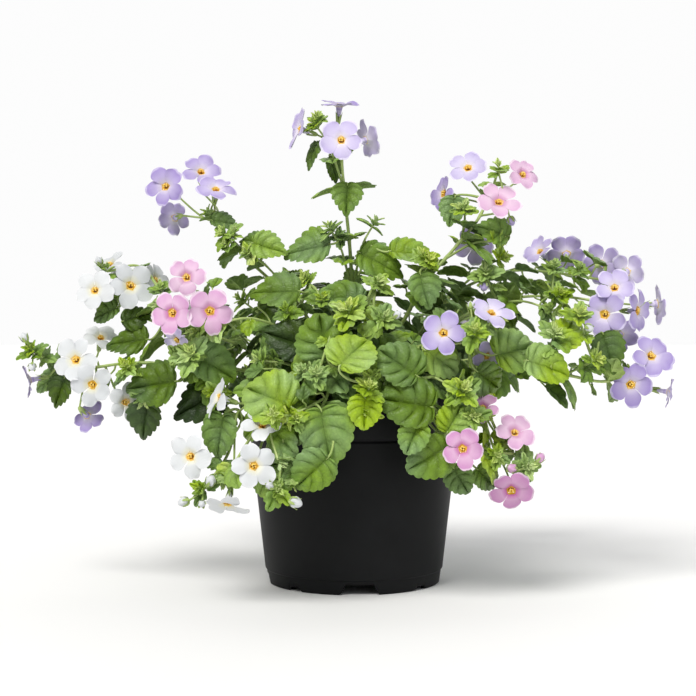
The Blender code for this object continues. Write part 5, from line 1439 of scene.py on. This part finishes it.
# The number of the sprig that a bud stands on, its place, its colour and its width
BUDS = (
    (6, (86, -12, 199), "lavender", 4.5), (8, (71, -14, 163), "lavender", 4.5),
    (5, (22, -64, 148), "white", 4.0), (25, (59, -72, 153), "white", 3.6),
    (12, (123, -50, 141), "white", 4.2), (20, (-72, -86, 65), "white", 5.2),
    (20, (-86, -84, 54), "white", 4.8), (20, (-76, -92, 54), "white", 3.6),
    (21, (-29, -94, 55), "white", 5.6), (21, (-42, -98, 64), "white", 3.8),
    (26, (95, -70, 75), "pink", 4.6), (26, (80, -74, 70), "pink", 4.8),
    (13, (-177, -30, 136), "white", 4.4), (13, (-172, -34, 120), "white", 4.2),
    (30, (-142, 2, 178), "white", 4.2), (34, (16, 98, 150), "lavender", 4.5),
    (32, (-44, 82, 172), "white", 4.0), (35, (60, 92, 146), "lavender", 4.4),
    (36, (-10, 118, 124), "pink", 4.4), (33, (-78, 90, 142), "white", 4.4),
)


def grow_bud(growth, centre, axis, width):
    """Adds a closed flower: five petals folded round each other in a twist."""
    right = axis.orthogonal().normalized()
    up = axis.cross(right)
    points, spots = [], []
    for i in range(BUD_ROWS + 1):
        share = i / BUD_ROWS
        radius = width / 2 * math.sin(math.pi * (0.08 + 0.86 * share**0.85)) ** 0.8
        for k in range(BUD_SIDES):
            angle = 2 * math.pi * k / BUD_SIDES
            fold = 1 + 0.12 * math.cos(5 * (angle + 0.9 * share))
            flat = right * math.cos(angle) + up * math.sin(angle)
            points.append(centre + flat * radius * fold + axis * width * (share - 0.5) * 1.15)
            spots.append((0.45 + 0.45 * share, k / BUD_SIDES))
    growth.grow((points, drum(BUD_ROWS + 1, BUD_SIDES)), 0.5, spots=spots)


buds = {}
for number, (sprig, place, colour, width) in enumerate(BUDS):
    plant, tip, centre = sprigs[sprig][0], Vector(sprigs[sprig][1]), Vector(place)
    axis = ((centre - tip).normalized() + Vector((0, 0, 0.3))).normalized()
    grow_bud(buds.setdefault(colour, Growth()), centre, axis, width)
    neck, growth = centre - axis * width * 0.62, stems[plant]
    route = curve_through((tip, tip.lerp(neck, 0.6) - axis * 0.4, neck, neck + axis * 0.6), 1.2)
    growth.grow(tube(route, [0.5] * len(route), 6), 0.2)
    cup = [neck - axis * 0.4 + axis * rise for rise in (0, 0.5, 1.3)]
    growth.grow(tube(cup, (0.5, width * 0.3, width * 0.42), 10), 0.15)
    draw = random.Random(f"bud {number}")
    right = axis.orthogonal().normalized()
    for n in range(SEPALS):
        outward = Matrix.Rotation(2 * math.pi * n / SEPALS, 3, axis) @ right
        length = width * draw.uniform(0.75, 1.0)
        growth.grow(sepal(neck, axis, outward, length, 0.3, draw, width * 0.44), 0.2)

# Shoot tips: each shoot ends in a tuft of unfolding leaves, pair above pair, each pair square to the last and
# smaller, so the newest are slivers in a lime green rosette.
TUFT_PAIRS, TUFT_LEAF, TUFT_AGE = 5, 9.0, 0.12

for shoot in shoots.values():
    tip, along, _, _ = shoot.frame(shoot.length)
    rosette(foliage[shoot.plant], tip, along, TUFT_LEAF, TUFT_PAIRS, TUFT_AGE, "tuft " + shoot.name)

# The stems themselves, round and a little swollen where leaves and twigs join them, then each plant's two
# pieces: its stems with all stalks and calyces, and its foliage.
for shoot in shoots.values():
    count = max(3, round(shoot.length / STEM_BIT))
    places, radii, ages = [], [], []
    for i in range(count + 1):
        at = shoot.length * i / count
        place, _, _, girth = shoot.frame(at)
        swell = sum(0.22 * math.exp(-(((at - j["at"]) / 1.6) ** 2)) for j in shoot.joints if j["used"])
        places.append(place)
        radii.append(girth * (0.95 + min(swell, 0.35)))
        ages += [(0.4 if shoot.twig else 0.8) * (1 - at / shoot.length)] * STEM_SIDES
    stems[shoot.plant].grow(tube(places, radii, STEM_SIDES), ages + [ages[0], ages[-1]])

for plant in PLANTS:
    short = plant.removeprefix("plant_")
    stem_piece = stems[plant].made(f"stems_{short}", [stem_skin])
    leaf_piece = foliage[plant].made(f"leaves_{short}", leaf_skins)
    for piece in (stem_piece, leaf_piece):
        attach(piece, "root")
        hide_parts(plant)

# Blooms: five broad thin lobes, cut almost to the throat, on a short tube that sits in the calyx. The throat
# is a golden funnel with five anthers, painted darker brown with depth as the shade in its mouth. The lobes
# overlap a little and have wavy ends.
LOBES, LOBE_ROWS, LOBE_COLUMNS, PETAL_THICK = 5, 8, 10, 0.26
THROAT_SHARE, THROAT_SINK, THROAT_OVAL, TUBE_R, TUBE_SIDES = 0.15, 1.5, 0.78, 1.05, 20
# Half width of a lobe, as a share of the bloom's radius, at shares of its length
LOBE_HALF = ((0.0, 0.13), (0.12, 0.165), (0.3, 0.255), (0.5, 0.345), (0.7, 0.40), (0.85, 0.40), (1.0, 0.36))
# Anthers: the angle round the throat and the height of each
ANTHERS = ((-35, -0.9), (30, -0.7), (95, -0.8), (160, -0.6), (220, -1.0))


def between(table, x):
    """The value at x of a table of (place, value) pairs, with straight lines between its entries."""
    for (a, low), (b, high) in zip(table, table[1:]):
        if x <= b:
            return low + (high - low) * (x - a) / (b - a)
    return table[-1][1]


def grow_corolla(growth, bloom):
    """Adds a corolla: its lobes, its throat and tube, and its anthers, in face materials 0, 1 and 2."""
    centre, axis, right, up = (bloom[key] for key in ("centre", "axis", "right", "up"))
    radius, tone = bloom["radius"], bloom["tone"]
    sizes, draw = random.Random(bloom["seed"]), random.Random(f"petal {bloom['seed']}")
    twist = draw.choice((-1, 1)) * draw.uniform(0.05, 0.12)
    for k in range(LOBES):
        size = sizes.uniform(0.94, 1.03) * draw.uniform(0.94, 1.04)
        lean = sizes.uniform(-0.10, 0.14) + draw.uniform(-0.10, 0.10)
        angle = math.radians(-90 + bloom["roll"]) + 2 * math.pi / LOBES * k + draw.uniform(-0.07, 0.07)
        out = right * math.cos(angle) + up * math.sin(angle)
        side = axis.cross(out)
        notch, wave = draw.uniform(0.0, 0.05), draw.uniform(0, 6)
        cup, broad, curl = draw.uniform(-0.25, 0.35), draw.uniform(0.88, 1.08), draw.uniform(-0.16, 0.06)
        points, faces, spots, index = [], [], [], {}
        for under in (0, 1):
            for i in range(LOBE_ROWS + 1):
                for j in range(LOBE_COLUMNS + 1):
                    if under and (i == LOBE_ROWS or j in (0, LOBE_COLUMNS)):
                        index[1, i, j] = index[0, i, j]
                        continue
                    r, s = (i / LOBE_ROWS) ** 0.9, 2 * j / LOBE_COLUMNS - 1
                    end = size * (1 - 0.24 * abs(s) ** 3 - notch * math.exp(-((s / 0.22) ** 2)))
                    x = THROAT_SHARE + (end - THROAT_SHARE) * r
                    y = s * between(LOBE_HALF, r) * broad
                    settle = min(1.0, max(0.0, (x - THROAT_SHARE) / 0.22))
                    height = -THROAT_SINK * (1 - settle * settle * (3 - 2 * settle))
                    height += radius * (lean * x**1.6 + cup * y * y * 1.5 + twist * y * r * 1.4 + curl * x**5)
                    height += 0.38 * r**3 * math.sin(wave + 4.5 * s + 2 * k) - (PETAL_THICK if under else 0)
                    index[under, i, j] = len(points)
                    points.append(centre + out * (x * radius) + side * (y * radius) + axis * height)
                    spots.append((r, s / 2 + 0.5))
        for under in (0, 1):
            for i in range(LOBE_ROWS):
                for j in range(LOBE_COLUMNS):
                    quad = [index[under, a, b] for a, b in ((i, j), (i + 1, j), (i + 1, j + 1), (i, j + 1))]
                    faces.append(tuple(quad[::-1] if under else quad))
        for j in range(LOBE_COLUMNS):
            inner = (index[0, 0, j], index[0, 0, j + 1], index[1, 0, j + 1], index[1, 0, j])
            faces.append(tuple(dict.fromkeys(inner)))
        growth.grow((points, faces), tone, spots=spots)

    # Rings from the bottom of the golden funnel up to its mouth, then down the tube's outside to its end:
    # share of the radius, height, and height of the oval for its width
    oval, lip, mouth = THROAT_OVAL, THROAT_SHARE * 1.06, -THROAT_SINK
    golden = (
        (0.05, -3.6, oval), (0.09, -3.3, oval), (0.115, -2.5, oval), (THROAT_SHARE * 0.9, mouth - 0.35, oval),
    )
    outside = (
        (lip, mouth - 0.10, 1.0), (lip, mouth - 0.55, 1.0), (0.13, -4.0, 1.0),
        (TUBE_R / radius, -TUBE_LENGTH, 1.0),
    )
    points, spots = [], []
    for share, height, flat in golden + outside:
        for c, s in around(TUBE_SIDES):
            points.append(centre + (right * c + up * (s * flat)) * (share * radius) + axis * height)
            # The first blade coordinate is the depth down the funnel, which the throat skin paints darker as
            # shade
            spots.append((max(0.0, (-height - 1.5) / 2.1), 0.5))
    numbers = [1] * len(golden) * TUBE_SIDES + [0] * (len(outside) - 1) * TUBE_SIDES + [1, 0]
    growth.grow((points, drum(len(golden + outside), TUBE_SIDES)), tone, numbers, spots)
    for turn, high in ANTHERS:
        angle = math.radians(turn + draw.uniform(-20, 20))
        spot = centre + right * math.cos(angle) * 0.85 + up * (math.sin(angle) * 0.8 + 0.25) + axis * high
        filament = [spot - axis * 1.6, spot, spot + axis * 0.1, spot + axis * 0.6]
        anther = tube(filament, (0.12, 0.16, 0.5, 0.42), 7)
        growth.grow(anther, tone, [2] * len(anther[1]))


def petal_surface(name, near, middle, edge, rim):
    """A petal's skin: golden by the throat, then its own tones out to the rim, with fine veins."""
    material, shader = surface(name, {"Roughness": 0.55, "Specular IOR Level": 0.3, "Sheen Weight": 0.12})
    spot = add(material, "UVMap", {"uv_map": "blade"})["UV"]
    place = add(material, "TexCoord", {})["Object"]
    reach = add(material, "SeparateXYZ", {"Vector": spot})["X"]
    mottle = add(material, "TexNoise", {"Scale": 1 / (4 * MM), "Detail": 3.0, "Vector": place})["Fac"]
    shifted = add(material, "Math", {"operation": "MULTIPLY_ADD", 0: mottle, 1: 0.16, 2: reach})["Value"]
    stops = ((0.085, "#F2C544"), (0.15, near), (0.42, middle), (0.95, edge), (1.0, rim))
    colour = add(material, "ValToRGB", {"stops": stops, "Fac": shifted})["Color"]
    # At this scale a lobe has some 13 veins, 0.7 mm apart at its widest
    lines = add(material, "TexWave", {
        "bands_direction": "Y", "Scale": 4.2, "Distortion": 2.2, "Detail": 2.0, "Detail Scale": 1.2,
        "Vector": spot,
    })["Fac"]
    fine = add(material, "MapRange", {"ends": (0, 0.35, 0.9, 1), "Value": lines})["Result"]

    # The depth of a bloom's colour drifts over it: the deeper, the richer and the darker, and on pink_08 part
    # of that darkening is painted shade
    tone = add(material, "Attribute", {"attribute_name": "age"})["Fac"]
    clouds = add(material, "TexNoise", {"Scale": 1 / (9 * MM), "Detail": 2.0, "Vector": place})["Fac"]
    depth = add(material, "Math", {"operation": "MULTIPLY_ADD", 0: clouds, 1: 1.1, 2: tone})["Value"]
    rich = add(material, "MapRange", {"ends": (0.4, 1.5, 0.75, 1.3), "Value": depth})["Result"]
    dim = add(material, "MapRange", {"ends": (0.75, 1.7, 1, 0.78), "Value": depth})["Result"]
    value = add(material, "Math", {"operation": "MULTIPLY", 0: fine, 1: dim})["Value"]
    veined = add(material, "HueSaturation", {"Color": colour, "Value": value, "Saturation": rich})["Color"]
    relief = {"Strength": 0.35, "Distance": 0.12 * MM, "Height": lines}
    feed(shader, {"Base Color": veined, "Normal": add(material, "Bump", relief)["Normal"]})
    return material


petals = {
    "lavender": petal_surface("lavender petal", "#E9E2F2", "#D2C7EA", "#BCAEDE", "#DDD5F2"),
    "pink": petal_surface("pink petal", "#D293C2", "#E8C2DE", "#DBAAD2", "#F0D8EA"),
    "white": petal_surface("white petal", "#E9E8D2", "#DCDFE1", "#E0E3E6", "#E6E8EB"),
}

# Throat: glossy golden funnel that turns brown inside its mouth, painted darker the deeper it goes as the
# shade there
throat_skin, shader = surface("golden throat", {"Roughness": 0.45})
spot = add(throat_skin, "UVMap", {"uv_map": "blade"})["UV"]
funnel_depth = add(throat_skin, "SeparateXYZ", {"Vector": spot})["X"]
golds_and_depth_shade = ((0.0, "#F6CE4E"), (0.4, "#EDB02C"), (0.66, "#C07C24"), (0.95, "#6A3E16"))
feed(shader, {"Base Color": add(throat_skin, "ValToRGB", {"stops": golds_and_depth_shade, "Fac": funnel_depth})["Color"]})

# Anthers: dusty yellow-brown pads on short filaments
anther_skin, shader = surface("dusty anther", {"Roughness": 0.85})
place = add(anther_skin, "TexCoord", {})["Object"]
dust = add(anther_skin, "TexNoise", {"Scale": 1 / (0.4 * MM), "Vector": place})["Fac"]
yellows = ((0.3, "#E5AC38"), (0.6, "#FAE07A"))
feed(shader, {"Base Color": add(anther_skin, "ValToRGB", {"stops": yellows, "Fac": dust})["Color"]})

corollas = {}
for bloom in seated:
    grow_corolla(corollas.setdefault(bloom["own"], Growth()), bloom)
for own, growth in corollas.items():
    colour = own.split("_")[1]
    corolla = growth.made(own.replace("bloom", "corolla"), [petals[colour], throat_skin, anther_skin], 50)
    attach(corolla, "root")
    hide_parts(own)
for colour, growth in buds.items():
    piece = growth.made(f"buds_{colour}", [petals[colour]], 50)
    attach(piece, "root")

# Stage: a plain pale floor, soft studio lamps and the camera at the photograph's view. It is no part of the
# object.
FLOOR_R, FLOOR_LOW, FLOOR_HIGH = 6000.0, -20, -0.05
FOCAL_LENGTH, SENSOR, TILT = 78.6, 36, 1.4

floor_paint, shader = surface("pale matt floor", {"Roughness": 0.9, "Specular IOR Level": 0.2})
place = add(floor_paint, "TexCoord", {})["Object"]
clouds = add(floor_paint, "TexNoise", {"Scale": 1 / (500 * MM), "Vector": place})["Fac"]
whites = ((0.3, "#F4F4F4"), (0.7, "#F8F8F8"))
feed(shader, {"Base Color": add(floor_paint, "ValToRGB", {"stops": whites, "Fac": clouds})["Color"]})
floor = solid("floor", *upright(0, 0, FLOOR_LOW, FLOOR_HIGH, FLOOR_R, 64), [floor_paint])

# The room is white where it is seen, and lights the plant softly from all sides at a third of that
world = bpy.data.worlds.new("studio")
world.use_nodes = True
seen = add(world, "LightPath", {})["Is Camera Ray"]
glow = add(world, "Math", {"operation": "MULTIPLY_ADD", 0: seen, 1: 0.68, 2: 0.30})["Value"]
feed(world.node_tree.nodes["Background"], {"Color": linear("#FFFFFF"), "Strength": glow})
scene = bpy.context.scene
scene.world = world
scene.view_settings.view_transform = "Standard"

# Each lamp is a wide soft panel far away: its name, where it stands, how wide it looks, its power and tint
for name, look, width, power, tint in (
    ("key", (-28, 50), 30, 2.6, "#FFFDF9"),
    ("fill", (48, 22), 80, 0.55, "#F4F8FF"),
    ("back", (165, 45), 60, 0.8, "#FFFFFF"),
):
    lamp = bpy.data.lights.new(name, "SUN")
    lamp.angle, lamp.energy, lamp.color = math.radians(width), power, linear(tint)[:3]
    stand = bpy.data.objects.new(name, lamp)
    stand.location = toward(*look) * 2
    stand.rotation_euler = toward(*look).to_track_quat("Z", "Y").to_euler()
    scene.collection.objects.link(stand)

lens = bpy.data.cameras.new("camera")
lens.lens, lens.sensor_width = FOCAL_LENGTH, SENSOR
lens.clip_start, lens.clip_end = 0.05, 50
camera = bpy.data.objects.new("camera", lens)
camera.location = CAMERA * MM
camera.rotation_euler = (math.radians(90 - TILT), 0, 0)
scene.collection.objects.link(camera)
scene.camera = camera
